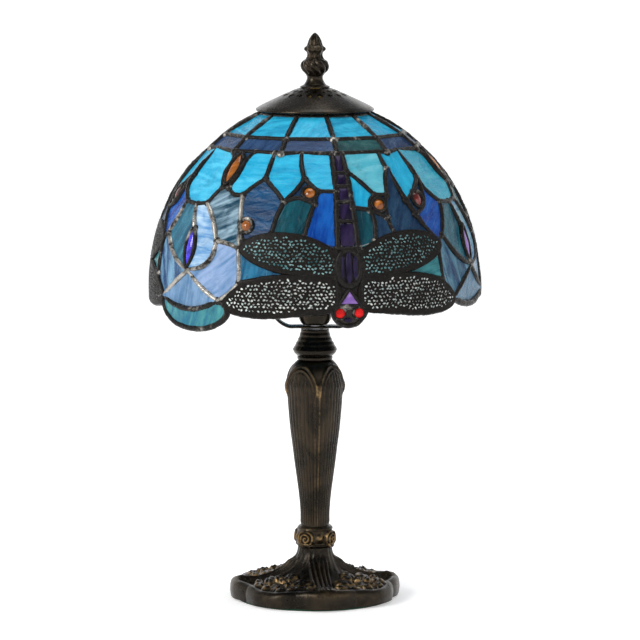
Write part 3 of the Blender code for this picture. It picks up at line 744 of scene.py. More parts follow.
def bronze_group():
    """Cast bronze: dark patina with brown clouds, gold where the rub and a fine grain say, small
    casting pits."""
    graph, given, out = new_group("rubbed casting", (
        ("Dark", "NodeSocketColor"), ("Warm", "NodeSocketColor"), ("Rubbed", "NodeSocketColor"),
        ("Rub", "NodeSocketFloat"), ("Gain", "NodeSocketFloat")))
    place = graph.place()
    cloud = graph.noise(place, 45.0, 4.0, 0.6, 0.6)
    grain = graph.noise(place, 520.0, 5.0, 0.7)
    colour = graph.mix(graph.span(cloud, 0.38, 0.68), given["Dark"], given["Warm"])
    patchy = graph.span(graph.math("ADD", grain, cloud), 0.75, 1.2, 0.3, 1.2)
    rub = graph.math("MULTIPLY", given["Rub"], patchy)
    rub = graph.span(graph.math("MULTIPLY", rub, given["Gain"]), 0.10, 0.90)
    graph.feed(out["Color"], graph.mix(rub, colour, given["Rubbed"]))
    graph.feed(out["Polish"], graph.math("ADD", graph.math("MULTIPLY", grain, 0.6),
                                         graph.math("MULTIPLY", cloud, 0.4)))
    pits = graph.span(graph.speckle(place, 760.0), 0.0, 0.22, -0.4, 0.0)
    pitted = graph.math("ADD", graph.math("MULTIPLY", grain, 0.5), pits)
    graph.feed(out["Height"], graph.math("ADD", pitted, cloud))
    return graph.tree


def clouded_group():
    """An everyday finish: two tones in clouds, smears in its polish and a fine uneven skin."""
    graph, given, out = new_group("clouded finish", (
        ("First", "NodeSocketColor"), ("Second", "NodeSocketColor"), ("Scale", "NodeSocketFloat")))
    place = graph.node("ShaderNodeVectorMath", operation="SCALE")
    graph.feed(place.inputs["Vector"], graph.place())
    graph.feed(place.inputs["Scale"], given["Scale"])
    cloud = graph.noise(place.outputs["Vector"], 1.0, 5.0, 0.62, 0.4)
    fine = graph.noise(place.outputs["Vector"], 9.0, 4.0, 0.6)
    graph.feed(out["Color"], graph.mix(graph.span(cloud, 0.38, 0.66), given["First"], given["Second"]))
    mixed = graph.math("MULTIPLY", graph.math("ADD", cloud, fine), 0.5)
    graph.feed(out["Polish"], mixed)
    graph.feed(out["Height"], mixed)
    return graph.tree


MATERIALS = {}


def make_materials():
    """Every finish on the lamp, from the four effect groups."""
    glass, metal = bpy.context.scene.lamp_glass, bpy.context.scene.lamp_metal
    streaks, patina, casting, clouded = sheet_glass_group(), lead_group(), bronze_group(), clouded_group()
    sheet = {"Flow": "flow", "Dark": "glass_dark", "Light": "glass_light"}
    MATERIALS["sheet"] = finish_of("streaky glass", streaks, {**sheet, "Milk": 0.35}, (0.18, 0.36), 0.0007,
                                   coat=0.03, specular=0.10)
    MATERIALS["jewel"] = finish_of("cast jewel", streaks, {**sheet, "Milk": 0.0}, (0.05, 0.12), 0.0002,
                                   coat=0.25, specular=0.4)
    MATERIALS["tail"] = finish_of("dark cast glass", streaks, {**sheet, "Milk": 0.0}, (0.14, 0.28), 0.0003,
                                  specular=0.12)
    lead = {"Dark": tuple(glass.came_dark), "Brown": tuple(glass.came_brown),
            "Bright": tuple(glass.came_silver_and_highlight),
            "Wear_and_highlight": "wear"}
    MATERIALS["lead"] = finish_of("lead line", patina, lead, (0.18, 0.40), 0.0006, metallic=None,
                                  specular=0.12)
    MATERIALS["wing"] = finish_of("pierced wing", patina, {**lead, "Wear_and_highlight": -0.3}, (0.30, 0.52), 0.0003,
                                  metallic=None, specular=0.06)
    bronze = {"Dark": tuple(metal.bronze_dark), "Warm": tuple(metal.bronze_warm),
              "Rubbed": tuple(metal.bronze_rub), "Rub": "rub"}
    MATERIALS["bronze"] = finish_of("rubbed bronze", casting, {**bronze, "Gain": 0.75}, (0.22, 0.40), 0.00025,
                                    metallic=0.85)
    MATERIALS["dull_bronze"] = finish_of("dark bronze", casting, {**bronze, "Gain": 0.20}, (0.20, 0.32),
                                         0.00010,
                                         metallic=0.85)
    for key, name, first, second, scale, rough, relief, settings in (
            ("steel", "zinc steel", (0.34, 0.34, 0.35), (0.20, 0.20, 0.21), 120.0, (0.28, 0.5), 0.0002,
             {"metallic": 1.0}),
            ("iron", "cast iron", (0.035, 0.032, 0.030), (0.070, 0.058, 0.048), 160.0, (0.5, 0.8), 0.0008,
             {"metallic": 0.6}),
            ("brass", "brass", (0.52, 0.34, 0.11), (0.34, 0.21, 0.07), 110.0, (0.22, 0.45), 0.0002,
             {"metallic": 1.0}),
            ("felt", "green felt", (0.010, 0.045, 0.022), (0.018, 0.070, 0.034), 420.0, (0.85, 1.0), 0.0012,
             {}),
            ("bakelite", "black bakelite", (0.010, 0.009, 0.008), (0.022, 0.018, 0.015), 70.0, (0.18, 0.38),
             0.0002, {"coat": 0.3}),
            ("ceramic", "white ceramic", (0.74, 0.72, 0.67), (0.62, 0.60, 0.55), 60.0, (0.16, 0.32), 0.0002,
             {"coat": 0.4}),
            ("opal", "opal bulb glass", (0.80, 0.80, 0.77), (0.72, 0.72, 0.70), 34.0, (0.12, 0.24), 0.0001,
             {"coat": 0.3})):
        MATERIALS[key] = finish_of(name, clouded, {"First": first, "Second": second, "Scale": scale}, rough,
                                   relief, **settings)
    pale = tuple(bpy.context.scene.lamp_stage.floor_colour)
    MATERIALS["paper"] = finish_of("paper floor", clouded, {
        "First": pale, "Second": tuple(0.985 * value for value in pale), "Scale": 3.0}, (0.75, 0.9), 0.0004,
        specular=0.2)
    glow = MATERIALS["paper"].node_tree.nodes["Principled BSDF"]
    glow.inputs["Emission Color"].default_value = (1.0, 1.0, 1.0, 1.0)
    glow.inputs["Emission Strength"].default_value = 0.40


# ---------------------------------------------------------------- glass pieces

def colours_of(sheet):
    """A sheet's darker and lighter colour."""
    return tuple(np.array(colour) for colour in SHEETS[sheet])


def lobe_colours_with_painted_shade(sheet, sector):
    """A sheet's two colours on a lobe: on the first lobe, on the side away from the key light, both are
    darker and greyer, a painted shade.
    """
    dark, light = colours_of(sheet)
    # Painted shade: darker, greyer copies of the sheets for the lobe away from the key light.
    if sector == 0:
        return dark * (0.80, 0.82, 0.74), light * (0.62, 0.72, 0.64)
    return dark, light


def slab(top, bottom, rows, depth, thickness):
    """Points and quads of a curved plate, ruled from its top line to its bottom line on the dome."""
    share = np.linspace(0, 1, rows)[:, None, None]
    front = top[None] * (1 - share) + bottom[None] * share
    normal = dome_normal(front.reshape(-1, 3)).reshape(front.shape)
    sheet = np.concatenate([front - normal * depth, (front - normal * (depth + thickness))[::-1]])
    index = np.arange(sheet.shape[0] * sheet.shape[1]).reshape(sheet.shape[:2])
    ring = np.vstack([index, index[:1]])
    quads = np.stack([ring[:-1, :-1], ring[1:, :-1], ring[1:, 1:], ring[:-1, 1:]], axis=-1).reshape(-1, 4)
    back = index[rows:][::-1]
    first = np.column_stack([index[1:rows, 0], index[:rows - 1, 0], back[:-1, 0], back[1:, 0]])
    last = np.column_stack([index[:rows - 1, -1], index[1:rows, -1], back[1:, -1], back[:-1, -1]])
    quads = np.vstack([quads, first, last])
    corner = np.cross(front[1, 0] - front[0, 0], front[0, 1] - front[0, 0])
    if corner @ normal[0, 0] < 0:
        quads = quads[:, ::-1]
    return sheet.reshape(-1, 3), quads


def ruled_pane(parts, top, bottom, rows, flow_turn, seed, dark, light, depth=GLASS_DEPTH):
    """A long curved pane of glass between two lines on the dome."""
    points, quads = slab(top, bottom, rows, depth, GLASS_THICKNESS)
    middle, normal, across, up = pane_frame(points)
    offset = points - middle
    c, s = math.cos(flow_turn), math.sin(flow_turn)
    u, v = offset @ across, offset @ up
    flow = np.column_stack([u * c + v * s, -u * s + v * c, offset @ normal]) + seed * 0.37
    ones = np.ones((len(points), 1))
    parts.add(points, quads, None, flow=flow, glass_dark=ones * dark, glass_light=ones * light)


class LAMP_OT_crown_glass(bpy.types.Operator):
    """Two rows of flat panes round the top of the shade"""
    bl_idname = "lamp.crown_glass"
    bl_label = "Crown glass"

    def execute(self, context):
        settings = context.scene.lamp_glass
        rows = (("crown_glass", CROWN_FALL, UPPER_CAME_FALL, "turquoise_glass"),
                ("band_glass", UPPER_CAME_FALL, LOWER_CAME_FALL, "navy_glass"))
        for row, (node, high, low, slot) in enumerate(rows):
            parts = Parts()
            for k in range(FACETS):
                left, right = FACET * k, FACET * (k + 1)
                corners = [(left, high), (right, high), (right, low), (left, low), (left, high)]
                line = np.vstack([resample(corners[i:i + 2], 8)[:-1] for i in range(4)])
                if row == 0:
                    dark, light = colours_of("turquoise")
                    dark = dark * (0.80, 0.90, 1.0)[k % 3]
                else:
                    dark, light = colours_of("bottle" if k == 0 else "navy")
                turn = math.radians((5, -12, 20, 70)[(k + row) % 4])
                add_pane(parts, dome(line[:, 0], line[:, 1]), turn, 100 * row + k, dark, light,
                         bow=settings.pane_bow, flatten=1.0)
            show(parts, node + "_panes", "shade", MATERIALS["sheet"], (node,), sharp=35)
        return {"FINISHED"}


class LAMP_OT_field_glass(bpy.types.Operator):
    """The shaped panes between the dragonflies and in the three lobes"""
    bl_idname = "lamp.field_glass"
    bl_label = "Field and lobe glass"

    def execute(self, context):
        settings = context.scene.lamp_glass
        # A lobe's row of nodes sits between the right field of one dragonfly and the left field of the next.
        for sector in range(3):
            after = (sector + 1) % 3
            nodes = {"right": f"field_glass_right_{sector + 1}", "left": f"field_glass_left_{after + 1}",
                     "lobe": f"lobe_glass_{sector + 1}"}
            for kind, node in nodes.items():
                parts = Parts()
                for number, (names, sheet, turn, side) in enumerate(PANES.values()):
                    if side != kind:
                        continue
                    loop = pane_loop(names)
                    dark, light = lobe_colours_with_painted_shade(sheet, sector) if kind == "lobe" else colours_of(sheet)
                    add_pane(parts, dome(loop[:, 0] + SECTOR * sector, loop[:, 1]), math.radians(turn),
                             number + 40 * sector, dark, light, bow=settings.pane_bow)
                if kind == "lobe" and LOBE_HAS_BORDER[sector]:
                    top = smooth_line(EDGES["p_foot"], 24)
                    bottom = smooth_line(LOBE_BORDER, 24)
                    dark, light = lobe_colours_with_painted_shade("reef", sector)
                    ruled_pane(parts, dome(top[:, 0] + SECTOR * sector, top[:, 1]),
                               dome(bottom[:, 0] + SECTOR * sector, bottom[:, 1]), 5, 1.2, sector, dark,
                               light)
                show(parts, node + "_panes", "shade", MATERIALS["sheet"], (node,),
                     sharp=35)
        return {"FINISHED"}


def lead_path(points, sector, steps, closed=False):
    """A line of the pattern laid on the dome in its sector."""
    line = resample(points, steps) if len(points) == 2 else smooth_line(points, steps, closed)
    return dome(line[:, 0] + SECTOR * sector, line[:, 1])


def path_length(path):
    """The length of a line through points, in metres."""
    return float(np.linalg.norm(np.diff(path, axis=0), axis=1).sum())


def add_ring(parts, fall, step, half, tall, sunk, seed, sides, wear):
    """A lead line right round the dome."""
    around = np.arange(0, 360, step)
    add_bead(parts, dome(around, np.full(len(around), fall)), half, tall, True, sunk, seed, sides, wear=wear)


def add_crown_lead(parts, half, tall, sunk):
    """The rings and uprights of the two top rows, with a puddle of solder at each crossing."""
    add_ring(parts, UPPER_CAME_FALL, 2.5, half, tall, sunk, 0, 12, 0.2)
    for k in range(FACETS):
        line = resample([(FACET * k, CROWN_FALL - 0.6), (FACET * k, LOWER_CAME_FALL)], 26)
        add_bead(parts, dome(line[:, 0], line[:, 1]), half, tall, False, sunk, 10 + k, wear=0.15)
        for fall in (UPPER_CAME_FALL, LOWER_CAME_FALL):
            add_blob(parts, dome(FACET * k, fall, sunk * 0.9), half * 1.7, tall * 0.9, 0.7)
    add_ring(parts, CROWN_FALL - 0.4, 3.0, half, tall, sunk, 31, 10, 0.1)


def add_field_lead(parts, half, tall, sunk):
    """The lines between the shaped panes, with solder where they meet."""
    add_ring(parts, LOWER_CAME_FALL, 2.5, half, tall, sunk, 1, 12, 0.2)
    ends = sorted({end for points in EDGES.values() for end in (points[0], points[-1])})
    for sector in range(3):
        for index, (name, points) in enumerate(EDGES.items()):
            if name.startswith(("top_", "p_foot")):
                continue
            steps = max(5, int(path_length(dome(*np.array(points).T)) / LEAD_STEP))
            # On the lobe nearest the key light these edges are painted silver: bare solder and a painted
            # highlight.
            wear = 1.0 if name in BARE_AND_HIGHLIT_EDGES and sector == BARE_AND_HIGHLIT_LOBE else 0.0
            wide = half * (1.15 if name.startswith("tail_") else 0.94)
            add_bead(parts, lead_path(points, sector, steps), wide, tall, False, sunk,
                     50 + index + 90 * sector, wear=wear)
        for azimuth, fall in ends:
            add_blob(parts, dome(azimuth + SECTOR * sector, fall, sunk * 0.95), half * 1.55, tall * 0.95, 0.5)


def add_rim_lead(parts, half, tall, sunk):
    """The rim: round each lobe and its border, and under the wings on either side."""
    for sector in range(3):
        bordered = LOBE_HAS_BORDER[sector]
        if bordered:
            add_bead(parts, lead_path(LOBE_BORDER, sector, 70), half * 1.1, tall, False, sunk, 300 + sector,
                     12, wear=0.2)
        wide = half * (1.0 if bordered else 1.2)
        add_bead(parts, lead_path(EDGES["p_foot"], sector, 44), wide, tall, False, sunk, 310 + sector, 12,
                 wear=0.2)
        line = smooth_line(WING_RIM, 60)
        for side in (1, -1):
            start = SECTOR * (sector if side > 0 else sector + 1)
            add_bead(parts, dome(start + side * line[:, 0], line[:, 1]), half * 1.15, tall, False, sunk,
                     320 + sector + side, 12, wear=0.3)


class LAMP_OT_lead(bpy.types.Operator):
    """Lead lines and solder between the panes, and the heavier rim round the foot of the shade"""
    bl_idname = "lamp.lead"
    bl_label = "Lead lines"

    def execute(self, context):
        half = context.scene.lamp_glass.came_width / 2
        tall = half * 1.3
        sunk = tall + 0.35 * MM
        for name, build, node in (("came_upper_lead", add_crown_lead, "came_upper"),
                                  ("came_lower_lead", add_field_lead, "came_lower"),
                                  ("rim_lead", add_rim_lead, "rim_came")):
            parts = Parts()
            build(parts, half, tall, sunk)
            show(parts, name, "shade", MATERIALS["lead"], (node,))
        return {"FINISHED"}


# ---------------------------------------------------------------- dragonflies

def inside(points, loop):
    """Which points lie inside a closed loop, by counting crossings of a level ray."""
    after = np.roll(loop, -1, axis=0)
    x, y = points[:, :1], points[:, 1:]
    spans = (loop[:, 1] > y) != (after[:, 1] > y)
    rise = np.where(after[:, 1] == loop[:, 1], 1e-12, after[:, 1] - loop[:, 1])
    reach = loop[:, 0] + (y - loop[:, 1]) * (after[:, 0] - loop[:, 0]) / rise
    return (spans & (x < reach)).sum(axis=1) % 2 == 1


def pierced_faces(outline, centres, loops, extra):
    """Triangles of a flat sheet with holes: the outline, hole loops and loose points go through a
    constrained triangulation, and triangles in a hole or outside the sheet are left out."""
    rings = [outline, *loops]
    points = np.vstack([*rings, extra])
    starts = np.cumsum([0] + [len(ring) for ring in rings])
    index = [start + np.arange(len(ring)) for start, ring in zip(starts, rings)]
    edges = np.vstack([np.column_stack([ring, np.roll(ring, -1)]) for ring in index]).tolist()
    found = geometry.delaunay_2d_cdt([Vector(point) for point in points.tolist()], edges, [], 0, 1e-7, False)
    flat, tris = np.array(found[0]), np.array(found[2])
    middle = flat[tris].mean(axis=1)
    keep = inside(middle, outline)
    gap = np.linalg.norm(middle[:, None] - centres[None], axis=2)
    for number, ring in enumerate(loops):
        reach = np.linalg.norm(ring - centres[number], axis=1).max()
        near = np.nonzero(gap[:, number] < reach)[0]
        keep[near[inside(middle[near], ring)]] = False
    return flat, tris[keep]


def add_plate(parts, front, back, tris, outward, **values):
    """A thin plate from its front triangles, turned outward, with a back and walls at its free edges."""
    corner = front[tris]
    facing = np.cross(corner[:, 1] - corner[:, 0], corner[:, 2] - corner[:, 0])
    wrong = (facing * outward[tris[:, 0]]).sum(axis=1) < 0
    tris = np.where(wrong[:, None], tris[:, ::-1], tris)
    edges = np.vstack([tris[:, [0, 1]], tris[:, [1, 2]], tris[:, [2, 0]]])
    keys = np.sort(edges, axis=1) @ np.array([len(front), 1])
    _, first, counts = np.unique(keys, return_index=True, return_counts=True)
    free = edges[first[counts == 1]]
    walls = np.column_stack([free[:, 1], free[:, 0], free[:, 0] + len(front), free[:, 1] + len(front)])
    parts.add(np.vstack([front, back]), walls, np.vstack([tris, tris[:, ::-1] + len(front)]), **values)


def hole_loops(centres, radius, rng, stretch, corners=9):
    """Irregular oval holes: each a ring whose radius wanders by its second and third harmonics."""
    turn = np.linspace(0, math.tau, corners, endpoint=False)
    lean = rng.uniform(0, math.tau, (len(centres), 2, 1))
    swing = rng.uniform(0.04, 0.17, (len(centres), 2, 1))
    size = radius * rng.uniform(0.66, 1.22, (len(centres), 1))
    reach = size * (1 + swing[:, 0] * np.cos(2 * turn + lean[:, 0])
                    + swing[:, 1] * np.cos(3 * turn + lean[:, 1]))
    x, y = reach * np.cos(turn) * (1 + stretch), reach * np.sin(turn) * (1 - stretch)
    spin = rng.uniform(-0.9, 0.9, (len(centres), 1))
    ovals = np.stack([x * np.cos(spin) - y * np.sin(spin), x * np.sin(spin) + y * np.cos(spin)], axis=-1)
    return centres[:, None] + ovals


# Millimetres to a degree of azimuth and of fall, near a wing.
ACROSS = 1.80
DOWN = 2.04
WING_FRONT = 0.25 * MM
WING_BACK = 0.45 * MM
WING_GLASS_DEPTH = 0.55 * MM


def pierced_wing(parts, corners, azimuth, side, pitch, seed):
    """A wing of pierced metal. Holes stand on a jittered hexagonal grid, in millimetres across and down
    the dome, clear of the wing's plain edge."""
    rng = np.random.default_rng(seed)
    outline = smooth_line(corners, 110, True) * (ACROSS, DOWN)
    low, high = outline.min(axis=0), outline.max(axis=0)
    columns, rows = int((high[0] - low[0]) / pitch) + 2, int((high[1] - low[1]) / (pitch * 0.866)) + 2
    k, n = np.meshgrid(np.arange(columns), np.arange(rows))
    centres = np.column_stack([(low[0] + pitch * (k + 0.5 * (n % 2))).ravel(),
                               (low[1] + pitch * 0.866 * n).ravel()])
    centres = centres + rng.uniform(-0.23, 0.23, centres.shape) * pitch
    clear = np.linalg.norm(centres[:, None] - outline[None], axis=2).min(axis=1) > 1.25 + pitch * 0.32
    centres = centres[clear & inside(centres, outline)]
    loops = hole_loops(centres, pitch * 0.28, rng, 0.20)
    flat, tris = pierced_faces(outline, centres, loops, np.zeros((0, 2)))
    place = flat / (ACROSS, DOWN)
    front = dome(azimuth + side * place[:, 0], place[:, 1], WING_FRONT)
    back = dome(azimuth + side * place[:, 0], place[:, 1], WING_BACK)
    add_plate(parts, front, back, tris, dome_normal(front), wear=0.25)


def oval(azimuth, fall, half_width, half_height, pointed=False, columns=40):
    """A loop in the dome's tangent plane: an ellipse, or a lens drawn from two arcs."""
    centre = dome(azimuth, fall)
    normal = dome_normal(centre[None])[0]
    across = unit(np.cross((0.0, 0.0, 1.0), normal))
    up = np.cross(normal, across)
    turn = np.linspace(0, math.tau, columns, endpoint=False)
    x, y = np.cos(turn), np.sin(turn)
    if pointed:
        x = np.sign(x) * np.abs(x) ** 1.55
    return centre + (across * (x * half_width)[:, None] + up * (y * half_height)[:, None]) * MM


def add_jewel(parts, rings, loop, sheet, seed, wear, bow=1.5 * MM, depth=1.75 * MM, bead=1.25 * MM):
    """A domed jewel of glass with its ring of lead."""
    add_pane(parts, loop, 0.6, seed, *colours_of(sheet), depth=depth, thickness=2.0 * MM, bow=bow,
             margin=0.0, flatten=1.0, rings=9)
    middle = loop.mean(axis=0)
    around = middle + (loop - middle) * (1 + 0.8 * bead / np.linalg.norm(loop - middle, axis=1))[:, None]
    add_bead(rings, around, bead, 1.7 * MM, True, 2.0 * MM, seed, 10, wear=wear)


class LAMP_OT_jewels(bpy.types.Operator):
    """Domed amber, garnet and cobalt jewels set among the panes, each in a ring of lead"""
    bl_idname = "lamp.jewels"
    bl_label = "Jewels"

    def execute(self, context):
        glass, rings = Parts(), Parts()
        for sector in range(3):
            for number, ((azimuth, fall), wide, tall, sheet, pointed) in enumerate(JEWELS):
                if sheet == "cobalt" and sector == 0:
                    sheet = "amethyst"
                wear = 0.9 if number == SILVERED_JEWEL else 0.35
                add_jewel(glass, rings, oval(azimuth + SECTOR * sector, fall, wide, tall, pointed), sheet,
                          700 + number + 9 * sector, wear)
        show(glass, "jewels", "shade", MATERIALS["jewel"], sharp=50)
        show(rings, "jewel_rings", "shade", MATERIALS["lead"])
        return {"FINISHED"}


def add_tail(glass, lead, azimuth, half):
    """Squares of glass down the tail, each an ellipse pressed square, with a line of lead below it."""
    for index, (high, low, wide) in enumerate(TAIL_SEGMENTS):
        loop = oval(azimuth, (high + low) / 2, wide, low - high, False, 36)
        middle = loop.mean(axis=0)
        normal = dome_normal(middle[None])[0]
        across = unit(np.cross((0.0, 0.0, 1.0), normal))
        x, y = (loop - middle) @ across, (loop - middle) @ np.cross(normal, across)
        square = np.maximum(np.abs(x) / np.abs(x).max(), np.abs(y) / np.abs(y).max()) ** -0.72
        loop = middle + (loop - middle) * square[:, None]
        add_pane(glass, loop, 1.3, 800 + index, *colours_of("violet"), depth=1.5 * MM, bow=0.7 * MM,
                 flatten=0.6, margin=0.0, rings=7)
        reach = 2.9 + 0.3 * index
        cross = resample([(-reach, low + 0.55), (reach, low + 0.55)], 8)
        add_bead(lead, dome(azimuth + cross[:, 0], cross[:, 1]), half * 0.8, 2.0 * MM, False, 2.3 * MM,
                 810 + index, wear=0.2)


def add_trunk(glass, lead, azimuth, half):
    """Three long ovals of glass and a heart below them, in a broad surround of lead."""
    for index, (offset, tall) in enumerate(((-1, 9.4), (0, 10.6), (1, 9.4))):
        loop = oval(azimuth + 2.55 * offset, 79.2, 2.0, tall, False, 40)
        add_pane(glass, loop, 1.4, 820 + index, *colours_of("violet"), depth=1.1 * MM, bow=0.9 * MM,
                 flatten=0.5, margin=0.0, rings=7)
    heart = np.vstack([resample([a, b], 9)[:-1] for a, b in zip(HEART, HEART[1:] + HEART[:1])])
    heart = dome(azimuth + heart[:, 0], heart[:, 1])
    add_pane(glass, heart, 0.2, 830, *colours_of("amethyst"), depth=1.3 * MM, bow=0.9 * MM, margin=0.0,
             rings=7)
    around = heart.mean(axis=0) + (heart - heart.mean(axis=0)) * 1.12
    add_bead(lead, around, half * 0.72, 1.9 * MM, True, 2.0 * MM, 831, wear=0.2)
    trunk = oval(azimuth, 79.2, 7.4, 11.2, False, 60)
    add_bead(lead, trunk, half * 1.25, 2.3 * MM, True, 2.4 * MM, 832, 12, wear=0.2)
    line = smooth_line(BODY_EDGE, 26)
    points, quads = slab(dome(azimuth - line[:, 0], line[:, 1]), dome(azimuth + line[:, 0], line[:, 1]),
                         14, 1.5 * MM, 1.2 * MM)
    lead.add(points, quads, None, wear=0.2)


def add_flanks_and_eyes(glass, lead, azimuth, half):
    """On either side a heavy line of lead down the body, and a red eye in its ring."""
    flank = smooth_line(BODY_FLANK, 24)
    for side in (1, -1):
        add_bead(lead, dome(azimuth + side * flank[:, 0], flank[:, 1]), half * 1.15, 2.4 * MM, False,
                 2.5 * MM, 833 + side, 12, wear=0.2)
        eye = oval(azimuth + side * 3.25, 92.9, 3.0, 3.0)
        add_pane(glass, eye, 0.3, 840 + side, *colours_of("scarlet"), depth=1.0 * MM, bow=1.0 * MM,
                 margin=0.0, flatten=1.0, rings=9)
        middle = eye.mean(axis=0)
        add_bead(lead, middle + (eye - middle) * 1.22, 0.85 * MM, 1.7 * MM, True, 1.8 * MM, 843 + side,
                 wear=0.3)


def add_head(glass, lead, azimuth, half):
    """A dark head tapering downwards, with a small oval of glass at its foot."""
    head = smooth_line(HEAD, 60, True)
    loop = dome(azimuth + head[:, 0], head[:, 1])
    add_pane(glass, loop, 0.0, 845, HEAD_COLOUR, HEAD_COLOUR * 1.5, depth=1.9 * MM, margin=0.0, flatten=0.3)
    add_bead(lead, loop, half * 0.85, 1.9 * MM, True, 2.1 * MM, 846, 12, wear=0.25)
    add_pane(glass, oval(azimuth - 0.4, 95.0, 2.7, 1.4), 0.0, 847, *colours_of("violet"), depth=1.2 * MM,
             bow=0.7 * MM, margin=0.0, flatten=1.0)


def add_wing(metal, backing, corners, row, number, side, pitch):
    """A pierced wing with its bead of lead, and the pale glass behind it."""
    azimuth = SECTOR * number
    pierced_wing(metal, corners, azimuth, side, pitch, 900 + 10 * number + 2 * row + (side > 0))
    rim = smooth_line(corners, 110, True)
    add_bead(metal, dome(azimuth + side * rim[:, 0], rim[:, 1]), 1.25 * MM, 0.85 * MM, True, 1.0 * MM,
             950 + row, 8, wear=0.0)
    top = smooth_line(corners[:WING_TIP + 1], 40)
    foot = smooth_line(corners[:WING_TIP - 1:-1], 40)
    ruled_pane(backing, dome(azimuth + side * top[:, 0], top[:, 1]),
               dome(azimuth + side * foot[:, 0], foot[:, 1]), 6, 0.3 * side, row + 2 * number,
               *colours_of(("wing_teal", "wing_pearl")[row]), depth=WING_GLASS_DEPTH)


class LAMP_OT_dragonflies(bpy.types.Operator):
    """Three dragonflies: glass tails and bodies in broad lead, red eyes, and pierced metal wings on glass"""
    bl_idname = "lamp.dragonflies"
    bl_label = "Dragonflies"

    def execute(self, context):
        half = context.scene.lamp_glass.came_width / 2
        pitch = context.scene.lamp_glass.hole_pitch / MM
        for number in range(3):
            azimuth = SECTOR * number
            glass, lead, tail_lead = Parts(), Parts(), Parts()
            add_tail(glass, tail_lead, azimuth, half)
            add_trunk(glass, lead, azimuth, half)
            add_flanks_and_eyes(glass, lead, azimuth, half)
            add_head(glass, lead, azimuth, half)
            name = f"dragonfly_{number + 1}"
            show(glass, f"{name}_glass", "shade", MATERIALS["tail"],
                 (f"dragonfly_tail_{number + 1}",), sharp=50)
            show(lead, f"{name}_body_lead", "shade", MATERIALS["lead"],
                 (f"dragonfly_body_{number + 1}",))
            show(tail_lead, f"{name}_tail_lead", "shade", MATERIALS["lead"])
            for side, label in ((1, "right"), (-1, "left")):
                metal, backing = Parts(), Parts()
                for row, corners in enumerate((UPPER_WING, LOWER_WING)):
                    add_wing(metal, backing, corners, row, number, side, pitch)
                show(metal, f"{name}_{label}_wings", "shade", MATERIALS["wing"],
                     (f"upper_wing_{label}_{number + 1}", f"lower_wing_{label}_{number + 1}"), sharp=40)
                show(backing, f"{name}_{label}_wing_glass", "shade", MATERIALS["sheet"],
                     sharp=35)
        return {"FINISHED"}


# ---------------------------------------------------------------- metalwork

def wrapped(angle, period):
    """Degrees from the nearest multiple of the period."""
    return np.mod(angle + period / 2, period) - period / 2


def smoothstep(value, low, high):
    """Rises smoothly from 0 to 1 between two values."""
    share = np.clip((value - low) / (high - low), 0.0, 1.0)
    return share * share * (3 - 2 * share)


def turned(outline, rows, columns, relief=None):
    """Rings of a turned and modelled body from an outline of (radius, height) in millimetres. The relief
    gives millimetres along the outline's own normal, and a rub value, for azimuths and outline points."""
    line = smooth_line(outline, rows)
    along = unit(np.gradient(line, axis=0))
    out = np.column_stack([-along[:, 1], along[:, 0]])
    azimuth = np.linspace(0, 360, columns, endpoint=False)[None]
    radius, height = line[:, :1], line[:, 1:]
    lift, rub = relief(azimuth, radius, height) if relief else (0.0, 0.2)
    lift = lift + np.zeros((rows, columns))
    radius = radius + lift * out[:, :1]
    height = height + lift * out[:, 1:]
    turn = np.radians(azimuth)
    rings = np.stack([radius * np.sin(turn), -radius * np.cos(turn), height], axis=-1) * MM
    return rings, rub + np.zeros((rows, columns))


def add_shell(parts, rings, **values):
    """A turned wall whose last ring joins its first, so that it closes on itself."""
    rows, columns = rings.shape[:2]
    quads = grid_faces(rows, columns, True)
    values = {key: np.broadcast_to(value, (rows, columns)).reshape(-1, 1) for key, value in values.items()}
    parts.add(rings.reshape(-1, 3), quads, None, **values)


def plain_rings(outline, columns):
    """Plain rings for the inside of a shell, in the order given."""
    turn = np.linspace(0, math.tau, columns, endpoint=False)
    outline = np.asarray(outline, dtype=float) * MM
    return np.stack([outline[:, :1] * np.sin(turn), -outline[:, :1] * np.cos(turn),
                     np.broadcast_to(outline[:, 1:], (len(outline), columns))], axis=-1)


def shell_of(parts, outer, rub, inner):
    """Modelled outer rings closed by a plain bore, given as (radius, height) in millimetres."""
    plain = plain_rings(inner, outer.shape[1])
    add_shell(parts, np.concatenate([outer, plain]),
              rub=np.concatenate([rub, np.zeros(plain.shape[:2])]))


def casting(outline, rows, columns, bore, relief=None, parts=None):
    """A turned and modelled wall with a plain bore, added to the parts given or to new ones."""
    parts = parts or Parts()
    rings, rub = turned(outline, rows, columns, relief)
    shell_of(parts, rings, rub, bore)
    return parts


# Millimetres, but for the foot's scalloped rim, whose wave is a share of its radius.
ROD_BORE = 5.4
BULB_RADIUS = 22.5
BULB_CENTRE = 256.0
THREAD_PITCH = 3.6
RIM_WAVE = 3.4 / 55.0


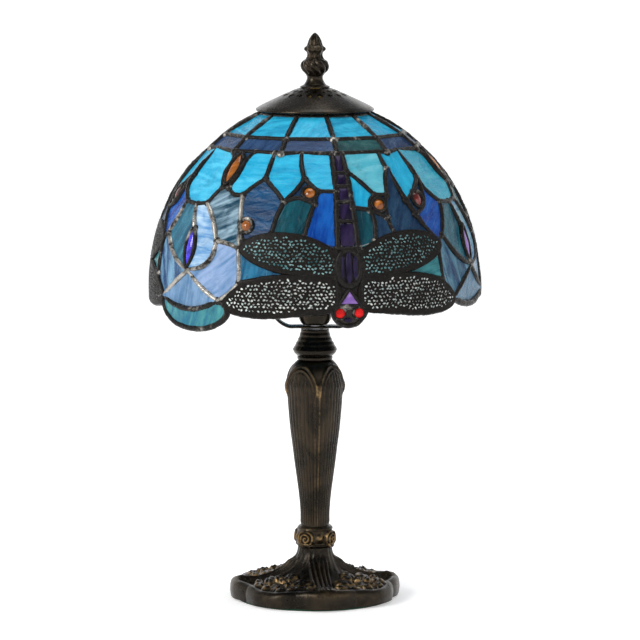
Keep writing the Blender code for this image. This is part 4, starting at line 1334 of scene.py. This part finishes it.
def stem_relief(azimuth, radius, height):
    """Reeds on the shaft, four arches drawn by two ridges each round its shoulder, drops at their feet,
    and a slightly squared section."""
    offset = wrapped(azimuth + 37.0, 90.0)
    reeds = bpy.context.scene.lamp_metal.reeds
    reed = np.abs(np.cos(np.radians(azimuth * reeds / 2))) ** 0.7
    above = np.clip(height - 134.0, 0.0, None)
    bend = np.sqrt((offset / 42.0) ** 2 + (above / 17.0) ** 2)
    reach = smoothstep(height, 129.5, 134.0)
    arches = (0.95 * np.exp(-((bend - 0.98) / 0.060) ** 2)
              + 0.65 * np.exp(-((bend - 0.80) / 0.045) ** 2)) * reach
    drop_at = wrapped(azimuth - 8.0, 90.0)
    drops = 1.15 * np.exp(-(drop_at / 5.0) ** 2 - (np.minimum(height - 133.5, 0) / 3.2) ** 2
                          - (np.maximum(height - 133.5, 0) / 7.0) ** 2)
    fade = 1 - reach * smoothstep(bend, 0.66, 0.74)
    foot = smoothstep(height, 46.6, 49.5)
    squared = 0.42 * np.cos(np.radians(4 * (azimuth - 8.0))) * smoothstep(height, 50.0, 100.0)
    top = 1 - smoothstep(height, 149.0, 152.0)
    lift = (0.48 * reed * fade * foot + (arches + drops) * top) - 0.55 + squared
    corner = 0.35 * np.clip(np.cos(np.radians(4 * (azimuth - 8.0))), 0, 1) ** 3
    rub = np.clip(0.55 * (arches + drops) * top + (0.16 + corner) * reed ** 5 * fade, 0, 1)
    return lift, rub


def collar_relief(azimuth, radius, height):
    """Four spiral rosettes with small knobs between them."""
    offset = wrapped(azimuth + 29.0, 90.0)
    x, y = np.radians(offset) * radius, height - 38.8
    away = np.hypot(x, y)
    spiral = np.cos(math.tau * (away / 2.1) - np.arctan2(y, x))
    disc = 1 - smoothstep(away, 5.0, 6.2)
    knob = wrapped(azimuth + 29.0 + 45.0, 90.0)
    knobs = 1.3 * np.exp(-(np.radians(knob) * radius / 1.8) ** 2 - ((height - 39.5) / 2.0) ** 2)
    lift = disc * (1.5 + 0.6 * spiral) + knobs
    return lift, np.clip(0.28 + disc * (0.35 + 0.5 * spiral) + knobs * 0.6, 0, 1)


def neck_relief(azimuth, radius, height):
    """Fine turning marks on the cone."""
    return 0.12 * np.sin(height * 2.2) * (height > 161.0), 0.25 + 0.2 * np.cos(height * 2.2)


def barrel_relief(azimuth, radius, height):
    """Knurling on the lower half of the barrel."""
    band = smoothstep(height, 190, 192) * (1 - smoothstep(height, 206, 208))
    return 0.22 * np.cos(np.radians(azimuth * 40)) * band - 0.25, 0.2


def cap_thread(azimuth, radius, height):
    """The rolled thread of the bulb's cap."""
    return 0.35 * np.sin(height * math.tau / THREAD_PITCH + np.radians(azimuth)) - 0.4, 0.0


# Lily pads and buds on each quarter of the foot: across, radius, size and height in millimetres, and folds.
PADS = (
    (0.0, 38.5, 8.8, 2.2, 7), (-12.0, 34.0, 6.6, 3.0, 6), (11.5, 32.0, 6.8, 2.7, 5),
    (-15.5, 44.0, 5.6, 2.3, 5), (14.5, 43.0, 6.6, 2.9, 6), (0.0, 26.0, 5.4, 2.6, 5),
    (-5.6, 45.2, 4.0, 3.1, 4), (6.6, 46.0, 3.8, 2.6, 4), (-6.5, 30.0, 4.2, 3.6, 4),
    (6.0, 36.5, 3.8, 3.8, 4), (-20.0, 40.0, 4.2, 2.6, 4), (20.5, 38.0, 4.0, 3.0, 4),
    (-1.0, 33.0, 3.4, 3.9, 3), (2.0, 43.0, 3.0, 3.5, 3),
)


def foot_relief(azimuth, radius, height):
    """Four reeded roots run out to the rim's crests; lily pads with veins, pods and buds stand between."""
    offset = wrapped(azimuth - 9.0, 90.0)
    across = np.radians(offset) * radius
    root = np.clip(1 - (across / (7.2 - 0.03 * radius)) ** 4, 0, None) ** 0.5
    root = root * smoothstep(radius, 12.0, 16.0) * (1 - smoothstep(radius, 50.5, 53.0))
    reeds = np.cos(math.tau * across / 2.6)
    lift = root * (2.1 + 0.80 * reeds)
    rub = root * 0.30 * np.clip(reeds, 0, 1) ** 2
    quarter = np.radians(wrapped(azimuth - 54.0, 90.0)) * radius
    for x, r, size, tall, veins in PADS:
        dx, dy = quarter - x, radius - r
        away = np.hypot(dx, dy) / size
        fold = np.cos(veins * np.arctan2(dy, dx) + x) * smoothstep(away, 0.05, 0.5)
        mound = 1.25 * tall * np.clip(1 - away ** 2.6, 0, None) ** 0.5 * (1 + 0.11 * fold)
        worn = 0.75 * np.exp(-((away - 0.72) / 0.16) ** 2) + 0.3 * np.clip(fold, 0, 1)
        rub = np.where(mound > lift, worn, rub)
        lift = np.maximum(lift, mound)
    crest = smoothstep(radius, 47.0, 50.5)
    ripple = np.sin(np.radians(azimuth * 11)) * 0.12 + np.sin(np.radians(azimuth * 23) + radius * 0.7) * 0.10
    rub = np.where(radius > 49.0, 0.20 + 0.12 * np.cos(np.radians(4 * offset)), rub)
    flank = smoothstep(height, 5.0, 9.0)
    return (lift - 0.55) * (1 - 0.85 * crest) + ripple, np.clip(rub * flank, 0, 1)


def finial_relief(azimuth, radius, height):
    """Flutes on the bud, a ring of beads, swirled gadroons on the bulb and a thin lip below."""
    turn = np.radians(azimuth)
    bud = smoothstep(height, 351.2, 353.0) * (1 - smoothstep(height, 357.6, 359.4))
    beads = np.exp(-((height - 349.6) / 1.1) ** 2)
    petals = np.exp(-((height - 345.2) / 1.5) ** 2)
    swirl = smoothstep(height, 333.6, 336.2) * (1 - smoothstep(height, 341.6, 343.6))
    flutes = bud * 0.75 * (np.abs(np.cos(4 * turn)) - 0.8)
    ring = beads * 0.65 * (np.cos(9 * turn) - 0.5) + petals * 0.45 * (np.cos(9 * turn) - 0.5)
    gadroons = swirl * 1.25 * (np.abs(np.cos(4.5 * turn + (height - 338.0) * 0.34)) - 0.85)
    lift = flutes + ring + gadroons
    return lift, np.clip(0.10 + 0.9 * lift, 0, 0.5)


class LAMP_OT_foot(bpy.types.Operator):
    """Cast foot with roots, lily pads and buds in relief, open beneath"""
    bl_idname = "lamp.foot"
    bl_label = "Cast foot"

    def execute(self, context):
        outline = [(11.3, 32.9), (11.9, 29.5), (13.6, 25.5), (17.0, 20.6), (22.0, 16.8), (29.0, 13.6),
                   (37.0, 11.4), (44.0, 10.9), (48.5, 12.0), (51.5, 12.1), (53.8, 10.1), (54.6, 6.0),
                   (54.0, 1.6)]
        rings, rub = turned(outline, 150, 560, foot_relief)
        away = np.linalg.norm(rings[..., :2], axis=-1) / MM
        azimuth = np.linspace(0, 360, 560, endpoint=False)[None]
        weight = smoothstep(away, 30.0, 50.0)
        wave = 1 - weight * (1 - np.abs(np.cos(np.radians(4 * (azimuth - 9.0))))) * RIM_WAVE
        rings[..., :2] = rings[..., :2] * wave[..., None]
        rings[..., 2] += 1.3 * MM * np.cos(np.radians(4 * (azimuth - 9.0))) * weight * smoothstep(
            rings[..., 2] / MM, 3.0, 10.0)
        plain = plain_rings([(50.6, 1.6), (50.2, 8.0), (ROD_BORE, 8.0), (ROD_BORE, 32.7)], 560)
        plain[:2, :, :2] = plain[:2, :, :2] * wave[-1][None, :, None]
        parts = Parts()
        add_shell(parts, np.concatenate([rings, plain]),
                  rub=np.concatenate([rub, np.zeros(plain.shape[:2])]))
        show(parts, "cast_foot", "base", MATERIALS["bronze"], ("base_casting",), sharp=55)
        return {"FINISHED"}


class LAMP_OT_stem(bpy.types.Operator):
    """Reeded stem with its arches, the rosette collar below and the moulded neck above"""
    bl_idname = "lamp.stem"
    bl_label = "Stem, collar and neck"

    def execute(self, context):
        outline = [(11.0, 152.8), (13.0, 151.0), (15.0, 148.2), (16.4, 144.5), (17.2, 140.7), (18.0, 137.0),
                   (17.4, 133.0), (16.9, 125.0), (16.3, 117.5), (15.4, 108.0), (14.2, 99.0), (12.9, 88.0),
                   (11.5, 77.0), (10.2, 66.0), (9.4, 55.0), (9.5, 46.4)]
        stem = casting(outline, 200, 432, [(ROD_BORE, 46.4), (ROD_BORE, 152.8)], stem_relief)
        show(stem, "reeded_stem", "base", MATERIALS["bronze"], ("stem_casting",), sharp=60)
        outline = [(10.2, 46.35), (11.3, 45.0), (11.0, 43.6), (11.3, 41.0), (11.6, 38.0), (11.2, 35.4),
                   (11.8, 34.4), (11.0, 33.3)]
        collar = casting(outline, 64, 360, [(ROD_BORE, 33.3), (ROD_BORE, 46.35)], collar_relief)
        show(collar, "collar_with_rosettes", "base", MATERIALS["bronze"],
             ("rosette_collar",), sharp=60)
        outline = [(9.6, 155.6), (10.9, 155.3), (11.2, 154.3), (10.9, 153.2), (9.6, 152.85)]
        neck = casting(outline, 16, 96, [(ROD_BORE, 152.85), (ROD_BORE, 155.6)])
        outline = [(8.7, 172.5), (10.0, 167.5), (11.8, 163.7), (13.9, 159.8), (13.8, 159.0), (13.2, 157.5),
                   (11.4, 155.65)]
        casting(outline, 60, 144, [(ROD_BORE, 155.65), (ROD_BORE, 172.5)], neck_relief, neck)
        show(neck, "neck", "base", MATERIALS["dull_bronze"], ("neck_ring", "neck_cone"),
             sharp=50)
        return {"FINISHED"}


# The cap's slope, and its rows of diamond vents: radius, half width and half height.
CAP_OUTLINE = np.array([(9.6, 325.2), (12.0, 324.5), (20.7, 320.7), (29.0, 316.8), (35.7, 313.4),
                        (37.1, 312.3)])
VENT_ROWS = ((14.2, 1.65, 2.0), (19.3, 2.05, 2.6))
VENTS = 18
CAP_RINGS = (10.8, 11.6, 24.4, 26.0, 28.0, 30.0, 32.0, 34.0, 35.5)


def circle(radius, count):
    """Points round the lamp's axis, seen from above."""
    turn = np.linspace(0, math.tau, count, endpoint=False)
    return np.column_stack([radius * np.sin(turn), -radius * np.cos(turn)])


class LAMP_OT_cap(bpy.types.Operator):
    """Spun cap pierced by two staggered rows of vents, with a rolled edge"""
    bl_idname = "lamp.cap"
    bl_label = "Vented cap"

    def execute(self, context):
        loops, centres = [circle(9.7, 72)], [np.zeros(2)]
        for row, (radius, wide, tall) in enumerate(VENT_ROWS):
            for k in range(VENTS):
                turn = math.tau * (k + 0.5 * (row % 2)) / VENTS
                corner = np.linspace(0, math.tau, 12, endpoint=False)
                x, y = wide * np.cos(corner), tall * np.sin(corner)
                diamond = (np.abs(x / wide) + np.abs(y / tall)) ** -0.8
                x, y = x * diamond, radius + y * diamond
                loops.append(np.column_stack([x * math.cos(turn) + y * math.sin(turn),
                                              x * math.sin(turn) - y * math.cos(turn)]))
                centres.append(loops[-1].mean(axis=0))
        extra = np.vstack([circle(radius, 96) for radius in CAP_RINGS])
        flat, tris = pierced_faces(circle(36.9, 144), np.array(centres), loops, extra)
        reach = np.linalg.norm(flat, axis=1)
        height = np.interp(reach, CAP_OUTLINE[:, 0], CAP_OUTLINE[:, 1])
        front = np.column_stack([flat, height]) * MM
        outward = np.tile((0.0, 0.0, 1.0), (len(flat), 1))
        parts = Parts()
        add_plate(parts, front, front - np.array([0.0, 0.0, 0.9 * MM]), tris, outward, rub=0.25)
        turn = np.linspace(0, math.tau, 12, endpoint=False)
        rings = plain_rings(np.column_stack([36.5 - 0.75 * np.cos(turn), 311.8 + 0.9 * np.sin(turn)]), 144)
        add_shell(parts, rings, rub=0.4)
        show(parts, "spun_cap", "shade", MATERIALS["dull_bronze"], ("vented_cap",),
             sharp=40)
        return {"FINISHED"}


class LAMP_OT_finial(bpy.types.Operator):
    """Finial: fluted bud, beads, waist, swirled bulb and bell foot"""
    bl_idname = "lamp.finial"
    bl_label = "Finial"

    def execute(self, context):
        outline = [(0.6, 359.7), (1.6, 358.8), (3.6, 355.6), (4.8, 352.2), (6.4, 350.6), (6.5, 349.2),
                   (5.2, 347.6), (4.7, 345.6), (5.6, 343.8), (8.0, 341.6), (8.9, 339.3), (8.2, 336.6),
                   (6.2, 334.2), (5.0, 332.2), (5.4, 330.0), (7.0, 327.4), (9.2, 326.3), (9.3, 325.7)]
        rings, rub = turned(outline, 150, 216, finial_relief)
        plain = plain_rings([(3.4, 325.7), (3.4, 338.0)], 216)
        parts = Parts()
        add_lathe(parts, np.concatenate([rings, plain]), np.array([0.0, 0.0, 360.0 * MM]),
                  np.array([0.0, 0.0, 338.1 * MM]), rub=np.concatenate([rub, np.zeros((2, 216))]))
        show(parts, "finial_casting", "finial", MATERIALS["dull_bronze"], ("finial",),
             sharp=60)
        return {"FINISHED"}


class LAMP_OT_harp(bpy.types.Operator):
    """Flat strap harp that carries the shade"""
    bl_idname = "lamp.harp"
    bl_label = "Harp"

    def execute(self, context):
        half = [(4.0, 321.8), (6.5, 321.4), (12.0, 317.5), (22.0, 308.0), (35.0, 290.0), (43.5, 268.0),
                (46.5, 245.0), (45.0, 222.0), (38.0, 199.0), (26.0, 181.0), (18.0, 174.6), (10.0, 174.0)]
        loop = np.array(half + [(-x, z) for x, z in half[::-1]])
        line = smooth_line(loop, 220, True) * MM
        along = unit(np.roll(line, -1, axis=0) - np.roll(line, 1, axis=0))
        out = np.column_stack([-along[:, 1], along[:, 0]])
        turn = np.linspace(0, math.tau, 20, endpoint=False)
        x = np.sign(np.cos(turn)) * np.abs(np.cos(turn)) ** 0.35 * 6.0 * MM
        y = np.sign(np.sin(turn)) * np.abs(np.sin(turn)) ** 0.6 * 0.8 * MM
        centre = np.column_stack([line[:, 0], np.zeros(len(line)), line[:, 1]])
        normal = np.column_stack([out[:, 0], np.zeros(len(line)), out[:, 1]])
        across = np.array([0.0, 1.0, 0.0]) * x[None, :, None]
        rings = centre[:, None] + normal[:, None] * y[None, :, None] + across
        parts = Parts()
        add_shell(parts, rings, rub=0.15)
        show(parts, "bent_harp", "base", MATERIALS["dull_bronze"], ("harp_strap",),
             sharp=40)
        return {"FINISHED"}


class LAMP_OT_lampholder(bpy.types.Operator):
    """Lampholder cup and barrel, and the opal bulb with its screw cap"""
    bl_idname = "lamp.lampholder"
    bl_label = "Lampholder and bulb"

    def execute(self, context):
        cup = casting([(9.8, 183.4), (10.7, 182.2), (10.3, 179.6), (9.0, 176.8), (7.6, 175.4)], 30, 96,
                      [(ROD_BORE, 175.4), (ROD_BORE, 182.4), (9.2, 183.3)])
        show(cup, "lampholder_cup", "base", MATERIALS["dull_bronze"], ("socket_cup",),
             sharp=50)
        barrel = casting([(11.4, 228.0), (12.2, 227.0), (12.2, 206.0), (12.2, 186.0), (11.6, 184.0)], 120,
                         160,
                         [(10.9, 184.2), (10.9, 227.8)], barrel_relief)
        show(barrel, "lampholder_barrel", "base", MATERIALS["bakelite"], ("socket_barrel",),
             sharp=50)
        turn = np.linspace(0.0, 2.72, 40)[1:]
        globe = [(BULB_RADIUS * math.sin(t), BULB_CENTRE + BULB_RADIUS * math.cos(t)) for t in turn]
        outline = [point for point in globe if point[1] > 237.0] + [(12.0, 234.5), (10.2, 231.0),
                                                                    (9.6, 226.8)]
        parts = Parts()
        rings, _ = turned(outline, 90, 128)
        add_lathe(parts, rings, np.array([0.0, 0.0, (BULB_CENTRE + BULB_RADIUS) * MM]),
                  np.array([0.0, 0.0, 226.8 * MM]))
        show(parts, "bulb_globe", "bulb", MATERIALS["opal"], ("bulb_glass",), sharp=60)
        parts = Parts()
        rings, _ = turned([(8.0, 226.0), (8.1, 216.0), (8.1, 208.0), (6.4, 205.4)], 120, 96, cap_thread)
        add_lathe(parts, rings, np.array([0.0, 0.0, 226.0 * MM]), np.array([0.0, 0.0, 205.3 * MM]))
        show(parts, "bulb_screw_cap", "bulb", MATERIALS["brass"], ("bulb_cap",), sharp=50)
        return {"FINISHED"}


CARRIED = {
    "base_weight": "iron", "base_washer": "steel", "base_nut": "steel", "threaded_rod": "steel",
    "felt_pad": "felt", "cord_gland": "bakelite", "crown_ring": "brass", "harp_nut": "brass",
    "harp_stud": "brass", "socket_shell": "brass", "socket_insulator": "ceramic", "socket_contact": "brass",
    "bulb_contact": "brass",
}


class LAMP_OT_carried(bpy.types.Operator):
    """Finishes for the frame's own pieces that stay in view"""
    bl_idname = "lamp.carried"
    bl_label = "Frame pieces"

    def execute(self, context):
        for node, key in CARRIED.items():
            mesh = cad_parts[node].data
            mesh.materials.clear()
            mesh.materials.append(MATERIALS[key])
        return {"FINISHED"}


# ---------------------------------------------------------------- stage

# The floor's dish, in metres: where the flat ends, the bend's radius, and the height of its rim.
DISH_FLAT, DISH_BEND, DISH_TOP = 4.0, 1.2, 3.2
LENS = 223.57
AIM = (0.0032, 0.0, 0.178)


def area_light(name, place, target, size, power, colour):
    """A square soft light turned to its target."""
    light = bpy.data.lights.new(name, "AREA")
    light.size = size
    light.energy = power
    light.color = colour
    lamp = bpy.data.objects.new(name, light)
    lamp.location = place
    lamp.rotation_euler = (Vector(target) - Vector(place)).to_track_quat("-Z", "Y").to_euler()
    bpy.context.scene.collection.objects.link(lamp)
    return lamp


class LAMP_OT_stage(bpy.types.Operator):
    """Pale floor and backdrop, soft studio lights and the camera"""
    bl_idname = "lamp.stage"
    bl_label = "Stage"

    def execute(self, context):
        settings = context.scene.lamp_stage
        # The floor is a wide round dish: flat, then rising all round in a quarter circle.
        turn = np.linspace(0, math.pi / 2, 24)
        bend = np.column_stack([DISH_FLAT + DISH_BEND * np.sin(turn), DISH_BEND - DISH_BEND * np.cos(turn)])
        profile = np.vstack([[(0.4, 0.0), (1.5, 0.0)], bend, [(DISH_FLAT + DISH_BEND, DISH_TOP)]])
        rings = plain_rings(profile / MM, 96)
        parts = Parts()
        add_lathe(parts, rings, np.zeros(3))
        mesh = parts.mesh("floor")
        mesh.shade_smooth()
        mesh.materials.append(MATERIALS["paper"])
        floor = bpy.data.objects.new("floor", mesh)
        context.scene.collection.objects.link(floor)
        world = bpy.data.worlds.new("studio")
        world.use_nodes = True
        world.node_tree.nodes["Background"].inputs["Color"].default_value = (0.95, 0.97, 1.0, 1.0)
        world.node_tree.nodes["Background"].inputs["Strength"].default_value = 0.30
        context.scene.world = world
        context.scene.view_settings.view_transform = "Standard"
        area_light("key", (-1.5, -1.3, 1.35), (0.0, 0.0, 0.20), 0.9, 30.0, (1.0, 0.98, 0.95))
        area_light("fill", (1.6, -1.2, 0.8), (0.0, 0.0, 0.20), 1.2, 2.5, (0.95, 0.97, 1.0))
        area_light("top", (0.1, 0.1, 1.7), (0.0, 0.0, 0.20), 1.0, 10.0, (1.0, 1.0, 1.0))
        view = bpy.data.cameras.new("camera")
        view.lens = LENS
        view.sensor_width = 36.0
        camera = bpy.data.objects.new("camera", view)
        camera.location = (0.0, -settings.distance, settings.eye_height)
        aim = Vector(AIM) - camera.location
        camera.rotation_euler = aim.to_track_quat("-Z", "Y").to_euler()
        context.scene.collection.objects.link(camera)
        bpy.context.scene.camera = camera
        return {"FINISHED"}


# ---------------------------------------------------------------- add-on

OPERATORS = (LAMP_OT_foot, LAMP_OT_stem, LAMP_OT_harp, LAMP_OT_lampholder, LAMP_OT_crown_glass,
             LAMP_OT_field_glass, LAMP_OT_lead, LAMP_OT_jewels, LAMP_OT_dragonflies, LAMP_OT_cap,
             LAMP_OT_finial, LAMP_OT_carried, LAMP_OT_stage)


class LAMP_PT_pieces(bpy.types.Panel):
    """Lists the lamp's pieces and their settings"""
    bl_idname = "LAMP_PT_pieces"
    bl_label = "Leaded glass lamp"
    bl_space_type = "VIEW_3D"
    bl_region_type = "UI"
    bl_category = "Lamp"

    def draw(self, context):
        for name in ("lamp_glass", "lamp_metal", "lamp_stage"):
            settings = getattr(context.scene, name)
            box = self.layout.box()
            for key in settings.__annotations__:
                box.prop(settings, key)
        for operator in OPERATORS:
            self.layout.operator(operator.bl_idname)


CLASSES = (LampGlassSettings, LampMetalSettings, LampStageSettings, *OPERATORS, LAMP_PT_pieces)


def register():
    """Add the classes and their settings to Blender."""
    for item in CLASSES:
        bpy.utils.register_class(item)
    bpy.types.Scene.lamp_glass = PointerProperty(type=LampGlassSettings)
    bpy.types.Scene.lamp_metal = PointerProperty(type=LampMetalSettings)
    bpy.types.Scene.lamp_stage = PointerProperty(type=LampStageSettings)


def unregister():
    """Take them out again."""
    del bpy.types.Scene.lamp_glass, bpy.types.Scene.lamp_metal, bpy.types.Scene.lamp_stage
    for item in reversed(CLASSES):
        bpy.utils.unregister_class(item)


def main():
    """Build every piece."""
    register()
    make_materials()
    for operator in OPERATORS:
        group, name = operator.bl_idname.split(".")
        getattr(getattr(bpy.ops, group), name)()


if __name__ == "__main__":
    main()
